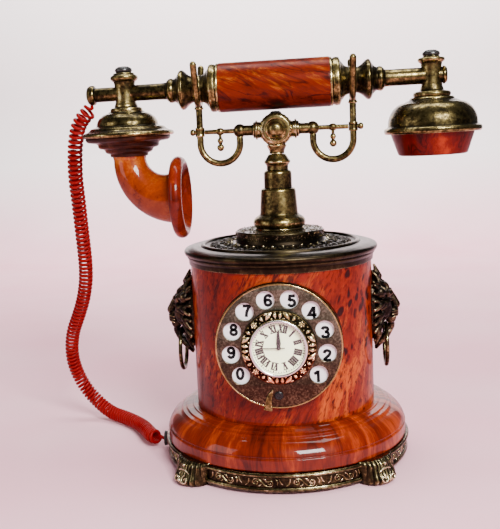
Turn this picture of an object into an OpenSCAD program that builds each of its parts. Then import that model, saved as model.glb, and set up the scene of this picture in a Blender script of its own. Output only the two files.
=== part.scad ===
// Antique-style desk telephone: round wooden drum with a clock in its dial, and a cradle with a
// turned handset. The origin is on the desk, on the drum's axis. +Z is up, the dial faces -Y and
// the handset lies along X, with its ear cup at +X. Millimetres.

/* [Drum and base] */
// Outer radius of the wooden drum
drum_r = 58.3; // [56:0.1:60]
// Height of the drum's foot above the desk
drum_bottom = 35.2; // [34:0.1:37]
// Height of the drum's top edge
drum_top = 128; // [124:0.5:130]
// Thickness of the drum's wooden wall
drum_wall = 4.3; // [3:0.1:6]
// Outer radius of the wooden base
base_r = 78.4; // [76:0.1:80]
// Outer radius of the metal band under the base
band_r = 79; // [77:0.1:81]

/* [Dial and clock] */
// Height of the dial's centre above the desk
dial_z = 85.5; // [82:0.5:88]
// Radius of the finger wheel
wheel_r = 37.5; // [36:0.1:38]
// Radius of the circle that the finger holes lie on
hole_circle_r = 28.8; // [28:0.1:29.5]
// Radius of one finger hole
hole_r = 5.3; // [5:0.1:5.6]
// Distance from the drum's axis to the front of the finger wheel
wheel_front = 62.8; // [62:0.1:64]
// Radius of the clock's face
clock_r = 16.2; // [15.5:0.1:16.3]

/* [Cradle] */
// Height of the cradle's arms
arm_z = 211.4; // [209:0.1:213]
// Distance from the middle to each fork
fork_x = 48.7; // [47:0.1:50]
// Centreline radius of the U-shaped loop under each arm
loop_r = 12.7; // [11:0.1:13]

/* [Handset] */
// Height of the handset's axis at its middle
handset_z = 239.2; // [239:0.1:241]
// How much the handset leans down towards its mouthpiece, in degrees
handset_tilt = 0.85; // [0:0.05:1]
// Radius of the wooden grip
grip_r = 15.4; // [14:0.1:16]
// Distance from the middle to the mouthpiece post
mouth_x = 95.9; // [94:0.1:98]
// Distance from the middle to the earpiece post
ear_x = 97.5; // [96:0.1:99]

/* [Hidden] */
$fn = 72;
gap = 0.3;                        // clearance between pieces that move past each other
run = 0.05;                       // radial clearance of a shaft in its bore
pad_h = 0.8;                      // thickness of the felt pads under the feet
drum_in = drum_r - drum_wall;
column_z = 147.9;                 // top of the lid's plinth, where the column stands
rod_r = 3.45;                     // the cradle's plunger rod
sleeve_r = 13.15;                 // the dial's fixed sleeve, which the finger wheel turns on
wheel_t = 1.6;                    // thickness of the finger wheel
hole_pitch = 28.2;                // angle between two finger holes
zero_angle = 216.9;               // where the hole of digit 0 lies, anticlockwise from +X
plate_front = wheel_front - wheel_t - 0.6;
arbor_r = 0.4;                    // the clock's arbor
face_z = wheel_front + 2.4;       // front of the clock's face, from the drum's axis
lion_z = 97;                      // middle of a lion's head
ring_x = 66.8;                    // where each ring pull hangs
ring_z = 84;                      // height of the hole that it hangs from
ring_major = 13.6;                // radius of the ring pull's centreline
ring_wire = 1.2;                  // radius of its wire
cord_r = 5.05;                    // outer radius of the curly cord's coil
wire_z = 7.2;                     // height at which the cord enters the base

// ---------- shared shapes ----------
function bow(x, y, r, a0, a1, n = 12) =
    [for (i = [0:n]) let (a = a0 + (a1 - a0) * i / n) [x + r * cos(a), y + r * sin(a)]];

module turned(outline, fn = 96) rotate_extrude($fn = fn) polygon(outline);
module tube(r_out, r_in, z0, z1) translate([0, 0, z0]) difference() {
    cylinder(r = r_out, h = z1 - z0);
    translate([0, 0, -1]) cylinder(r = r_in, h = z1 - z0 + 2);
}
module disc(r, z0, z1) translate([0, 0, z0]) cylinder(r = r, h = z1 - z0);
// Frames that the groups of parts are drawn in
module at_dial() translate([0, 0, dial_z]) rotate([90, 0, 0]) children();
module at_arm(side) translate([0, 0, arm_z]) mirror([side < 0 ? 1 : 0, 0, 0]) children();
module at_handset() translate([0, 0, handset_z]) rotate([0, -handset_tilt, 0]) children();
module along(side) at_handset() mirror([side < 0 ? 1 : 0, 0, 0]) rotate([0, 90, 0]) children();
module at_mouth() at_handset() translate([-mouth_x, 0, 0]) children();
module at_ear() at_handset() translate([ear_x, 0, 0]) children();
module drum_space() cylinder(r = drum_r + 0.02, h = 200, $fn = 96);

// ---------- base ----------
screw_r = 1.5;                    // shank of the base plate's screws
module at_screws() for (a = [0:90:270]) rotate(a) translate([68, 0, 0]) children();
module base_ring() color("#6b5532") difference() {
    turned([[72, 2.4], [band_r, 2.4], [band_r + 0.6, 3.6], [band_r, 4.8], [band_r, 11.4],
        [band_r + 1.4, 12.2], [band_r + 1.4, 13], [band_r + 0.6, 13.8], [64, 13.8], [64, 11.8],
        [72, 11.8]]);
    translate([-band_r - 4, 0, wire_z]) rotate([0, 90, 0]) cylinder(r = 3.1, h = 12);
    at_screws() disc(screw_r, 11, 20);
}
foot_half = 13;                   // half width of a foot
module foot(angle) color("#5c4a30") rotate(angle) translate([0, foot_half, 0]) rotate([90, 0, 0])
    linear_extrude(2 * foot_half)
        polygon([[72, pad_h], [87, pad_h], [89.6, 2.8], [89.2, 5], [86, 7.6], [83.6, 11.6], [82.6, 14.6],
            [81, 14.6], [81, 2.2], [72, 2.2]]);
module foot_pads() color("#2b2622")
    for (a = [45:90:315]) rotate(a) translate([81, 0, 0]) cylinder(r = 5, h = pad_h);
module base_plate() color("#3a3a3c") difference() {
    disc(71.6, 9.8, 11.8);
    at_screws() disc(screw_r + 0.2, 5, 20);
}
module base_screws() color("#b5b5b8") at_screws() {
    disc(2 * screw_r, 8, 9.8);
    disc(screw_r, 9.8, 13.8);
}
module wood_base() color("#a8401c") difference() {
    turned(concat([[62, 13.8], [base_r - 0.8, 13.8], [base_r, 14.6], [base_r, 21.6], [base_r - 1.2, 22.2],
        [base_r - 1.2, 22.8]], bow(68.6, 22.2, 9.4, 8, 84), [[68.6, 32.8], [66.4, 33.4], [65.6, 34.2],
        [62, 34.6], [61.2, drum_bottom], [52, drum_bottom], [52, 28], [62, 28]]));
    translate([0, 70, 20]) cube([13.4, 30, 9.4], center = true);
}

// ---------- drum, lid and column ----------
module drum() color("#b5451b") difference() {
    tube(drum_r, drum_in, drum_bottom, drum_top);
    at_dial() disc(sleeve_r + 0.6, 40, 70);
    for (s = [-1, 1]) translate([0, 0, lion_z]) rotate([0, 90 * s, 0]) disc(2.05, 40, 70);
}
module lid() color("#5a4527") turned(concat([[8.6, 144.4], [26, 143], [27, 137.8], [52.5, 135.6],
    [52.5, 124], [drum_in - 0.1, 124], [drum_in - 0.1, drum_top], [59.4, drum_top], [59.6, 131],
    [60.6, 132.6]],
    bow(60.2, 135.9, 2.1, -80, 75, 6), [[57, 139], [52, 139.4]], bow(49.8, 139.6, 1.4, 20, 160, 4),
    [[46.4, 139.4], [30.2, 141.2], [28.6, 142.2], [28.2, column_z - 0.6], [27.6, column_z],
    [8.6, column_z]]));
module column() color("#7a6134") difference() {
    turned(concat([[0, 140], [8.5, 140], [8.5, column_z], [15.8, column_z], [16.1, 148.9]],
        bow(12.7, 152.4, 4.2, -50, 75, 8), [[12.9, 157.2], [12.3, 158], [11.2, 173], [10.6, 174],
        [9, 174.2], [8.85, 184.4], [8.2, 185.2],
        [6.9, 185.8], [6.9, 188.4], [7.6, 189.6], [8.35, 190.9], [7.8, 192], [5.4, 195.8], [0, 195.8]]));
    disc(rod_r + run, 130, 200);
}

// ---------- dial ----------
module dial_housing() color("#5f4a28") difference() {
    at_dial() tube(wheel_r + 0.4, wheel_r - 3.6, 40, plate_front - 1);
    drum_space();
}
module number_plate() color("#f2f0ea") at_dial()
    tube(wheel_r - 0.5, sleeve_r + 0.05, plate_front - 1, plate_front);
module dial_sleeve() color("#8a7a55") at_dial() {
    tube(sleeve_r, 12, 50, wheel_front + 0.6);
    tube(17, 12, wheel_front + 0.6, wheel_front + 1.6);
}
module finger_wheel() color("#6e5a34") at_dial() difference() {
    union() {
        tube(wheel_r, sleeve_r + run, wheel_front - wheel_t, wheel_front);
        tube(wheel_r, wheel_r - 0.9, wheel_front - wheel_t, wheel_front + 0.3);
        translate([-1, -29.7, 0]) disc(2.7, wheel_front - 0.2, wheel_front + 0.6);
    }
    for (i = [0:9]) rotate(zero_angle - hole_pitch * i) translate([hole_circle_r, 0, 50])
        cylinder(r = hole_r, h = 20);
}
// The stop's foot stands on the drum beside the wheel's rim, and its horn reaches in over the wheel
stop_angle = 258.6;
stop_z = wheel_front + 0.9;
module finger_stop() color("#8a7040") difference() {
    at_dial() {
        rotate(stop_angle) translate([wheel_r + 0.4, -2.6, 50]) cube([1.4, 5.2, stop_z - 49.2]);
        translate([0, 0, stop_z]) linear_extrude(1)
            polygon([[-10, -38], [-4.9, -38.9], [-5.2, -33], [-3.9, -26.2], [-4.4, -26.2], [-7.2, -29],
                [-9.3, -32.6]]);
    }
    drum_space();
}
module clock_ring() color("#7d6237") at_dial()
    turned(concat([[17.1, wheel_front + 0.6], [22.4, wheel_front + 0.6]],
        bow(20, wheel_front + 1.9, 2.9, -20, 165, 10), [[17.1, wheel_front + 2.4]]));
module clock_bezel() color("#c9c9c6") at_dial()
    turned([[16.3, wheel_front + 1.6], [17, wheel_front + 1.6], [17.05, face_z + 2.6], [16.6, face_z + 3.4],
        [15.6, face_z + 3.4], [15.6, face_z + 3], [16.3, face_z + 2.6]]);
module clock_face() color("#f3edd6") at_dial() tube(clock_r, arbor_r + 0.5, wheel_front + 1.6, face_z - 0.2);
module clock_glass() color([0.9, 0.95, 1, 0.35]) at_dial() disc(clock_r, face_z + 2, face_z + 2.6);
module clock_movement() color("#2f2f33") at_dial() {
    disc(11.9, 54, wheel_front + 1.4);
    disc(arbor_r, wheel_front + 1.4, face_z + 1.7);
}
// A clock hand: a boss on the arbor and a blade that points up, with a tail
module hand(level, length, width, tail) at_dial() {
    tube(1.2, arbor_r + run, level, level + 0.3);
    translate([0, 0, level]) linear_extrude(0.3) {
        polygon([[-width / 2, 1], [width / 2, 1], [width / 3, length], [-width / 3, length]]);
        if (tail > 0) translate([-width / 2, -tail]) square([width, tail - 1]);
    }
}
module hour_hand() color("#1c2230") hand(face_z, 8.3, 1.2, 0);
module minute_hand() color("#1c2230") hand(face_z + 0.5, 12, 0.9, 0);
module second_hand() color("#8d8d90") at_dial() {
    tube(1.1, arbor_r + run, face_z + 1, face_z + 1.25);
    translate([0, 0, face_z + 1]) linear_extrude(0.25) {
        translate([-10.4, -0.2]) square([9.5, 0.4]);
        translate([0.9, -0.2]) square([2.8, 0.4]);
    }
}

// ---------- lion-head pulls ----------
module lion(side) color("#3b3128") mirror([side < 0 ? 1 : 0, 0, 0]) difference() {
    union() {
        translate([50, 0, lion_z + 2]) rotate([0, 90, 0]) cylinder(r = 15, h = 11.5);
        translate([58.5, 0, lion_z + 2]) sphere(10.5, $fn = 48);
        translate([64.8, 0, lion_z - 4]) sphere(9.2, $fn = 48);
        translate([ring_x - 2.2, 0, ring_z + 1.5]) sphere(5.6, $fn = 48);
        translate([58.5, 0, lion_z + 16]) sphere(6, $fn = 48);
        translate([58.5, 0, lion_z - 17]) sphere(6.2, $fn = 48);
        translate([58.5, 0, lion_z - 24.5]) sphere(4.4, $fn = 48);
    }
    drum_space();
    translate([ring_x, 10, ring_z]) rotate([90, 0, 0]) cylinder(r = 2.3, h = 20);
}
module ring_pull(side) color("#8b6d3a") translate([ring_x * side, 0, ring_z - ring_major])
    rotate([0, 90, 0]) rotate_extrude($fn = 72) translate([ring_major, 0]) circle(ring_wire, $fn = 24);

// ---------- inside ----------
module hook_switch() color("#26262a") {
    translate([-6, -10, 118]) cube([12, 20, 6]);
    translate([-15, -4, 116]) cube([30, 8, 2]);
    disc(2, 124, 126);
}
module circuit_board() color("#2e6b3c") {
    translate([-30, -24, 40]) cube([60, 48, 1.6]);
    translate([-20, -14, 41.6]) cube([12, 12, 4]);
    translate([6, -10, 41.6]) cylinder(r = 5, h = 10);
}
module ringer() color("#3d3d42") translate([0, 22, 56]) {
    cylinder(r = 18, h = 5);
    translate([0, 0, 5]) cylinder(r = 9, h = 7);
}
module line_jack() color("#e4ddc8") difference() {
    translate([-6.6, 55, 15.4]) cube([13.2, 22.6, 9]);
    translate([-4.8, 64, 16.6]) cube([9.6, 20, 6.4]);
}
module cord_grommet() color("#1d1a19") translate([-band_r, 0, wire_z]) rotate([0, 90, 0]) {
    translate([0, 0, -3.9]) cylinder(r1 = 5, r2 = 4.2, h = 3.2);
    translate([0, 0, -0.8]) cylinder(r = 3, h = 6.8);
}

// ---------- handset cord: the space that its coil takes, from the handset down to the base ----------
cord_route = [[-118, 0, 231], [-118.6, 0, 229], [-121, 0, 226.6], [-125, 1, 223], [-129, 3, 217],
    [-132, 6, 208], [-134, 9, 198], [-136, 14, 185], [-137, 20, 170], [-138, 26, 154], [-139, 32, 138],
    [-140, 37, 124], [-142, 42, 111], [-146, 47, 97], [-152, 52, 83], [-158, 56, 70], [-161, 59, 57],
    [-161, 61, 45], [-158, 63, 33], [-152, 63, 22], [-143, 61, 12.5], [-133, 56, 7], [-122, 49, 5.4],
    [-112, 39, 5.3], [-104, 28, 5.6], [-98, 16, 6.4], [-93, 6, 7], [-88, 1, 7.2], [-83.3, 0, 7.2]];
cord_sides = 12;                  // faces round the coil's tube
function way(p, i) = let (d = p[min(i + 1, len(p) - 1)] - p[max(i - 1, 0)]) d / norm(d);
// A tube through a list of points, with a radius and a direction for each point
module sweep(p, radii, dirs, n) {
    last = len(p) - 1;
    rings = [for (i = [0:last]) let (t = dirs[i], u = cross([0, 1, 0], t), a = u / norm(u), b = cross(t, a))
        for (k = [0:n - 1]) p[i] + radii[i] * (cos(360 * k / n) * a + sin(360 * k / n) * b)];
    polyhedron(rings, concat([[for (k = [0:n - 1]) k]], [[for (k = [n - 1:-1:0]) last * n + k]],
        [for (i = [0:last - 1], k = [0:n - 1]) let (m = (k + 1) % n)
            [i * n + k, (i + 1) * n + k, (i + 1) * n + m, i * n + m]]));
}
cord_last = len(cord_route) - 1;
cord_dirs = [for (i = [0:cord_last]) i == 0 ? [0, 0, -1] : i == cord_last ? [1, 0, 0] : way(cord_route, i)];
module handset_cord() color("#c01818")
    sweep(cord_route, [for (p = cord_route) cord_r], cord_dirs, cord_sides);

// ---------- cradle ----------
module hub() color("#8a7140") {
    turned([[0, 127], [rod_r, 127], [rod_r, 195.8 + gap], [4.9, 195.8 + gap], [4.7, 197], [5, 198.4],
        [6.2, 201], [6.1, 203.2], [5.2, 205], [0, 205]]);
    translate([0, 0, arm_z]) {
        sphere(10.3, $fn = 64);
        rotate([90, 0, 0]) disc(9.9, -6, 6);
        for (s = [0, 180]) rotate([90, 0, s]) translate([0, 0, 7]) sphere(5.2, $fn = 48);
        for (s = [-1, 1]) rotate([0, 90 * s, 0]) disc(5.2, 8, 11.8);
        disc(3.9, 9, 11.6);
    }
}
module arm(side) color("#8a7140") at_arm(side) {
    rotate([0, 90, 0]) {
        disc(6.1, 11.8, 12.9);
        disc(5, 12.9, 14.4);
        disc(3.5, 14.4, 23);
    }
    translate([23.1, 0, 0]) sphere(4.3, $fn = 40);
    rotate([0, 90, 0]) disc(1.45, 23, fork_x - 2.9);
    translate([35.9, 0, 0]) {
        sphere(2.3, $fn = 32);
        disc(1, -10, 0);
        translate([0, 0, -5.9]) sphere(1.9, $fn = 32);
        translate([0, 0, -10]) sphere(2.4, $fn = 32);
    }
}
loop_drop = 7.5;                  // the loop's straight ends below the arm, down to its arc
module loop(side) color("#8a7140") at_arm(side) {
    translate([fork_x - loop_r, 0, -loop_drop]) rotate([-90, 0, 0])
        rotate_extrude(angle = 180, $fn = 72) translate([loop_r, 0]) circle(2.15, $fn = 32);
    translate([fork_x - 2 * loop_r, 0, 0]) disc(2.15, -loop_drop, -4.3);
    translate([fork_x, 0, 0]) disc(2.15, -loop_drop, 14.95);
    translate([fork_x, 0, 0]) disc(2.9, -2.7, 2.7);
    translate([fork_x, 0, 0]) rotate([0, 90, 0]) disc(1.5, 0, 4.4);
    translate([fork_x + 4.4, 0, 0]) sphere(2.2, $fn = 32);
}
fork_bend = 11;                   // radius of the fork's round bottom, in the plane across the handset
fork_lean = 25;                   // how far its prongs lean outwards, in degrees
fork_prong = 19.6;                // length of a straight prong
module fork(side) color("#9a8048") at_arm(side) translate([fork_x, 0, 17 + fork_bend]) rotate([90, 0, 90]) {
    rotate(270 - 90 + fork_lean) rotate_extrude(angle = 180 - 2 * fork_lean, $fn = 72)
        translate([fork_bend, 0]) circle(2.05, $fn = 32);
    for (s = [0, 1]) mirror([s, 0, 0]) rotate(-fork_lean) translate([fork_bend, 0, 0]) rotate([-90, 0, 0]) {
        translate([0, 0, -0.6]) cylinder(r = 2, h = fork_prong + 0.6, $fn = 32);
        translate([0, 0, fork_prong]) sphere(2.15, $fn = 32);
    }
}
// ---------- handset, across ----------
module grip() color("#b4481a") along(1) tube(grip_r, 5.3, -34.9, 34.9);
module ferrule(side) color("#7b6338") along(side) difference() {
    turned([[0, 34.9], [15, 34.9], [15, 36], [14.4, 36.6], [14.9, 37.4], [14.9, 40.6], [12.6, 41.6],
        [9.4, 44], [8, 46.4], [7.8, 50], [0, 50]]);
    disc(4, 30, 60);
}
post_cut_r = 6.2;                 // radius of the posts where the tubes meet them
module tube_part(side, post) color("#6d5a3a") along(side) difference() {
    turned([[0, 50], [7.8, 50], [8, 52], [9.2, 54.4], [12, 57.4], [12.5, 58.4], [12.5, 59.4], [11.6, 60.2],
        [8.8, 61.8], [7.4, 63.4], [7.2, 66.2], [7.5, 67.4], [6.4, 68.4], [5.3, 69], [5.1, post],
        [0, post]]);
    disc(3.2, 30, 120);
    translate([-30, 0, post]) rotate([0, 90, 0]) cylinder(r = post_cut_r + 0.02, h = 60);
}
module end_cap_left() color("#6d5a3a") along(-1) difference() {
    turned([[0, mouth_x], [4.5, mouth_x], [4.5, 115.4], [6.2, 115.6], [6.2, 118.4], [5.2, 119.8], [3, 120.6],
        [0, 120.8]]);
    translate([-30, 0, mouth_x]) rotate([0, 90, 0]) cylinder(r = post_cut_r + 0.02, h = 60);
}
module end_cap_right() color("#6d5a3a") along(1) difference() {
    turned([[0, ear_x], [4.8, ear_x], [4.8, 104.6], [5.7, 104.8], [5.7, 106], [4.4, 107.2], [0, 107.4]]);
    translate([-30, 0, ear_x]) rotate([0, 90, 0]) cylinder(r = post_cut_r + 0.02, h = 60);
}
module post_buttons() color("#17130f") {
    at_mouth() turned([[0, 13.2], [4.6, 13.2], [5.6, 14.2], [5.2, 15.8], [3, 17], [0, 17.2]]);
    at_ear() turned([[0, 11.6], [4.6, 11.6], [5.6, 12.6], [5.2, 14], [3, 15.3], [0, 15.5]]);
}

// ---------- mouthpiece ----------
module mouth_post() color("#7a6438") at_mouth()
    turned([[0, 13.2], [5.4, 13.2], [5.8, 12.2], [8, 11.4], [8.6, 10.2], [8, 8.6], [6.9, 8],
        [post_cut_r + 0.3, 5.4], [post_cut_r, 5.3], [post_cut_r, -5.3], [post_cut_r + 0.3, -5.4], [7.4, -7.6],
        [7.6, -8.4], [10.2, -9.4], [10.2, -11], [0, -11]]);
module mouth_disc() color("#5f4c2c") at_mouth() difference() {
    turned([[0, -11], [11.4, -11], [15, -12.4], [18, -15], [19.6, -18.4], [19.8, -20.2], [23.8, -21.4],
        [25.2, -23], [28.8, -24.2], [29.5, -25.2], [29.5, -26.2], [28.4, -27.2], [0, -27.2]]);
    disc(15.2, -30, -14);
}
module mouth_rings() color("#6a1710") at_mouth() difference() {
    turned([[0, -27.2], [27, -27.2], [27.1, -28.6], [26, -30], [20.4, -31], [19.6, -32], [19.4, -33.4],
        [18.4, -34.4], [15.8, -35], [15.3, -36.8], [14, -37.6], [12.2, -38], [12, -39.8], [0, -39.8]]);
    disc(6.6, -50, -20);
}
module transmitter() color("#33302c") at_mouth() disc(15, -26.8, -15);
horn_turn = 26;                   // radius of the horn's bend
horn_top = 39.8;                  // from the handset's axis down to the horn's top
horn_drop = 41.8;                 // from the handset's axis down to the start of the bend
horn_steps = 10;
horn_sides = 28;
horn_wall = 2.4;
horn_turns = [for (i = [0:horn_steps]) i / horn_steps];
function horn_path(over) = concat([[-mouth_x, 0, -horn_top + over]],
    [for (t = horn_turns)
        [-mouth_x + horn_turn * (1 - cos(90 * t)), 0, -horn_drop - horn_turn * sin(90 * t)]],
    [[-mouth_x + horn_turn + over, 0, -horn_drop - horn_turn]]);
function horn_radii(less) =
    concat([11.6 - less], [for (t = horn_turns) 10.4 + 6 * pow(t, 1.3) - less], [16.4 - less]);
horn_dirs = concat([[0, 0, -1]], [for (t = horn_turns) [sin(90 * t), 0, -cos(90 * t)]], [[1, 0, 0]]);
module horn() color("#b5561a") at_handset() difference() {
    sweep(horn_path(0.001), horn_radii(0), horn_dirs, horn_sides);
    sweep(horn_path(1), horn_radii(horn_wall), horn_dirs, horn_sides);
}
module horn_bell() color("#b04d18") at_handset()
    translate([-mouth_x + horn_turn, 0, -horn_drop - horn_turn]) rotate([0, 90, 0])
        turned(concat([[14, 0], [16.4, 0], [17.4, 1.2], [21.6, 1.4]], bow(22.2, 5.4, 4.1, -75, 75, 8),
            [[21.8, 9.4], [20.4, 8], [17, 4.4], [14.4, 2]]));

// ---------- earpiece ----------
module ear_post() color("#7a6438") at_ear()
    turned([[0, 11.6], [5.4, 11.6], [5.8, 10.8], [8, 10.4], [8.4, 9.4], [7.8, 8], [6.8, 7.4],
        [post_cut_r + 0.1, 5.4], [post_cut_r, 5.3], [post_cut_r, -5.3], [post_cut_r + 0.1, -5.4], [7.2, -8],
        [7.6, -9.6], [11.2, -10.2], [11.6, -11.6], [11.2, -13.2], [0, -13.2]]);
module ear_dome() color("#5f4c2c") at_ear() difference() {
    turned(concat([[0, -13.2], [13.4, -13.2], [13.8, -14.6], [16.4, -15.6]],
        [for (a = [0:10:80]) [16.8 + 11 * sin(a), -16.2 - 14.6 * (1 - cos(a))]],
        [[27.8, -30.6], [29.4, -31.4], [30.2, -32.4], [30.2, -34], [29.2, -35.2], [25.9, -35.2], [25, -31],
        [22, -22], [18, -18.4], [0, -17.4]]));
}
module ear_cup() color("#a3281a") at_ear()
    turned([[17, -47.6], [18.4, -48.6], [20.4, -48.9], [21.6, -48.2], [25.8, -35.2], [23, -35.2],
        [18.6, -41], [17, -41]]);
module receiver() color("#2a2725") at_ear() {
    disc(18, -40.8, -26);
    difference() {
        disc(16.9, -43, -40.8);
        for (r = [0, 5, 10], a = [0:(r == 0 ? 360 : 300 / r):359]) rotate(a) translate([r, 0, -44])
            cylinder(r = 1.1, h = 3, $fn = 24);
    }
}

base_ring();
foot(225);  // foot_front_left
foot(315);  // foot_front_right
foot(135);  // foot_back_left
foot(45);  // foot_back_right
foot_pads();
base_plate();
base_screws();
wood_base();
drum();
lid();
column();
dial_housing();
number_plate();
dial_sleeve();
finger_stop();
clock_ring();
clock_bezel();
clock_face();
clock_glass();
clock_movement();
lion(-1);  // lion_left
lion(1);  // lion_right
hook_switch();
circuit_board();
ringer();
line_jack();
cord_grommet();
handset_cord();
finger_wheel();
hour_hand();
minute_hand();
second_hand();
ring_pull(-1);  // ring_left
ring_pull(1);  // ring_right
hub();
arm(-1);  // arm_left
arm(1);  // arm_right
loop(-1);  // loop_left
loop(1);  // loop_right
fork(-1);  // fork_left
fork(1);  // fork_right
grip();
ferrule(-1);  // ferrule_left
ferrule(1);  // ferrule_right
tube_part(-1, mouth_x);  // tube_left
tube_part(1, ear_x);  // tube_right
mouth_post();
ear_post();
post_buttons();
end_cap_left();
end_cap_right();
mouth_disc();
mouth_rings();
horn();
horn_bell();
transmitter();
ear_dome();
ear_cup();
receiver();
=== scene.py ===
"""The looks of the desk telephone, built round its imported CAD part. Lengths are mm until a mesh is made."""
import math
import random

import bmesh
import bpy
import numpy as np
from mathutils import Matrix, Vector


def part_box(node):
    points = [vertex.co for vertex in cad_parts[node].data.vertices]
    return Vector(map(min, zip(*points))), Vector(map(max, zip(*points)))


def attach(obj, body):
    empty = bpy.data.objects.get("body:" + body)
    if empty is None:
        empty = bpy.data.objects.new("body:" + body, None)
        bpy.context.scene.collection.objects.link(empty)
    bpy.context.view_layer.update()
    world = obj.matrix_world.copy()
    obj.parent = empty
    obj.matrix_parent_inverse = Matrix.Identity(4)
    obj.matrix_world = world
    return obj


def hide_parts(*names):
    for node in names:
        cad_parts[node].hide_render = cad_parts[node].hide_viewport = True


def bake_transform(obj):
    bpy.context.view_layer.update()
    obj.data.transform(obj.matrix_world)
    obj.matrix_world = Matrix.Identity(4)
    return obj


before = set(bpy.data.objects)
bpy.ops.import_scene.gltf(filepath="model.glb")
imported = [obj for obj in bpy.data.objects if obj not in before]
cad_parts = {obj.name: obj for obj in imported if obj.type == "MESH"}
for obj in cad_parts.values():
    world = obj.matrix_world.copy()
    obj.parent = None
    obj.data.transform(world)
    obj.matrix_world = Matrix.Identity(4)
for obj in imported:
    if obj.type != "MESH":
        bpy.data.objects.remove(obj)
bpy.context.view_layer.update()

MM = 0.001
TAU = 2 * math.pi
HANDSET_TILT = math.radians(0.85)
random.seed(7)


# ---------------------------------------------------------------- camera
def camera():
    """The camera at the photograph's viewing angle."""
    distance, height, azimuth = 0.54945, 0.211, math.radians(2.69)
    yaw, pitch, roll = math.radians(4.79), math.radians(8.88), math.radians(2.38)
    forward = Vector((-math.sin(yaw) * math.cos(pitch), math.cos(yaw) * math.cos(pitch), -math.sin(pitch)))
    level = Vector((math.cos(yaw), math.sin(yaw), 0))
    up = level.cross(forward)
    right = level * math.cos(roll) - up * math.sin(roll)
    top = up * math.cos(roll) + level * math.sin(roll)
    data = bpy.data.cameras.new("camera")
    data.sensor_width, data.lens = 36, 58.08
    cam = bpy.data.objects.new("camera", data)
    bpy.context.scene.collection.objects.link(cam)
    turn = Matrix((right, top, -forward)).transposed().to_4x4()
    cam.matrix_world = Matrix.Translation(
        (distance * math.sin(azimuth), -distance * math.cos(azimuth), height)) @ turn
    bpy.context.scene.camera = cam


camera()


# ---------------------------------------------------------------- materials
class Paint:
    """One material's node tree, made with short calls."""

    def __init__(self, name, **sockets):
        self.mat = bpy.data.materials.new(name)
        self.mat.use_nodes = True
        self.tree = self.mat.node_tree
        self.shader = self.tree.nodes["Principled BSDF"]
        for key, value in sockets.items():
            self.shader.inputs[key.replace("_", " ")].default_value = value

    def node(self, kind, props=None, **inputs):
        """A node with its settings and inputs. An input is named, or i0, i1 and so on for its number."""
        made = self.tree.nodes.new("ShaderNode" + kind)
        for key, value in (props or {}).items():
            setattr(made, key, value)
        for key, value in inputs.items():
            by_number = key[0] == "i" and key[1:].isdigit()
            socket = made.inputs[int(key[1:]) if by_number else key.replace("_", " ")]
            if isinstance(value, bpy.types.NodeSocket):
                self.tree.links.new(value, socket)
            else:
                socket.default_value = value
        return made

    def along(self, axis, where=None):
        """How far along X, Y or Z a point is. Without one it is the point on the object, in metres."""
        where = self.node("TexCoord").outputs["Object"] if where is None else where
        return self.node("SeparateXYZ", None, Vector=where).outputs[axis]

    def spot(self, stretch=(1, 1, 1), turn=(0, 0, 0)):
        """The point on the object, turned and then stretched: a small number makes long features."""
        place = self.node("TexCoord").outputs["Object"]
        if any(turn):
            place = self.node("Mapping", {"vector_type": "POINT"}, Vector=place, Rotation=turn).outputs[0]
        return self.node("Mapping", {"vector_type": "POINT"}, Vector=place, Scale=stretch).outputs[0]

    def vector(self, op, **inputs):
        return self.node("VectorMath", {"operation": op}, **inputs).outputs[0]

    def radial(self, radius, rest):
        """A point that stays much the same from the axis outwards, so that grain runs down a turned base."""
        ring = self.vector("SCALE", i0=self.vector("NORMALIZE", i0=self.spot((1, 1, 0))), Scale=radius)
        return self.vector("ADD", i0=ring, i1=self.spot(rest))

    def noise(self, where, scale, detail=3.0, distortion=0.0, roughness=0.5):
        return self.node("TexNoise", None, Vector=where, Scale=scale, Detail=detail, Distortion=distortion,
                         Roughness=roughness).outputs["Fac"]

    def cells(self, where, scale):
        return self.node("TexVoronoi", {"feature": "F1"}, Vector=where, Scale=scale).outputs["Distance"]

    def value(self, name):
        return self.node("Attribute", {"attribute_name": name}).outputs["Fac"]

    def calc(self, op, a, b=0.0, clamp=False):
        return self.node("Math", {"operation": op, "use_clamp": clamp}, i0=a, i1=b).outputs[0]

    def add(self, total, *others):
        for other in others:
            total = self.calc("ADD", total, other)
        return total

    def times(self, a, b):
        return self.calc("MULTIPLY", a, b)

    def swing(self, noise, size):
        """A noise's value, which lies round a half, as a swing of the given size round nought."""
        return self.times(self.calc("SUBTRACT", noise, 0.5), size)

    def span(self, value, low, high, to_low=0.0, to_high=1.0):
        return self.node("MapRange", {"clamp": True}, Value=value, From_Min=low, From_Max=high, To_Min=to_low,
                         To_Max=to_high).outputs[0]

    def ramp(self, value, stops, ease="LINEAR"):
        made = self.node("ValToRGB", None, Fac=value)
        made.color_ramp.interpolation = ease
        elements = made.color_ramp.elements
        while len(elements) < len(stops):
            elements.new(0.5)
        for element, (place, colour) in zip(elements, stops):
            element.position = place
            element.color = (*colour, 1)
        return made.outputs[0]

    def mix(self, share, a, b, mode="MIX"):
        made = self.node("Mix", {"data_type": "RGBA", "blend_type": mode}, i0=share)
        for socket, value in ((made.inputs[6], a), (made.inputs[7], b)):
            if isinstance(value, bpy.types.NodeSocket):
                self.tree.links.new(value, socket)
            else:
                socket.default_value = (*value, 1)
        return made.outputs[2]

    def bump(self, height, strength, distance):
        self.link(self.node("Bump", None, Height=height, Strength=strength, Distance=distance).outputs[0],
                  "Normal")

    def link(self, output, name):
        self.tree.links.new(output, self.shader.inputs[name])

    def done(self, colour=None, roughness=None):
        if colour is not None:
            self.link(colour, "Base Color")
        if roughness is not None:
            self.link(roughness, "Roughness")
        return self.mat


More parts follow.
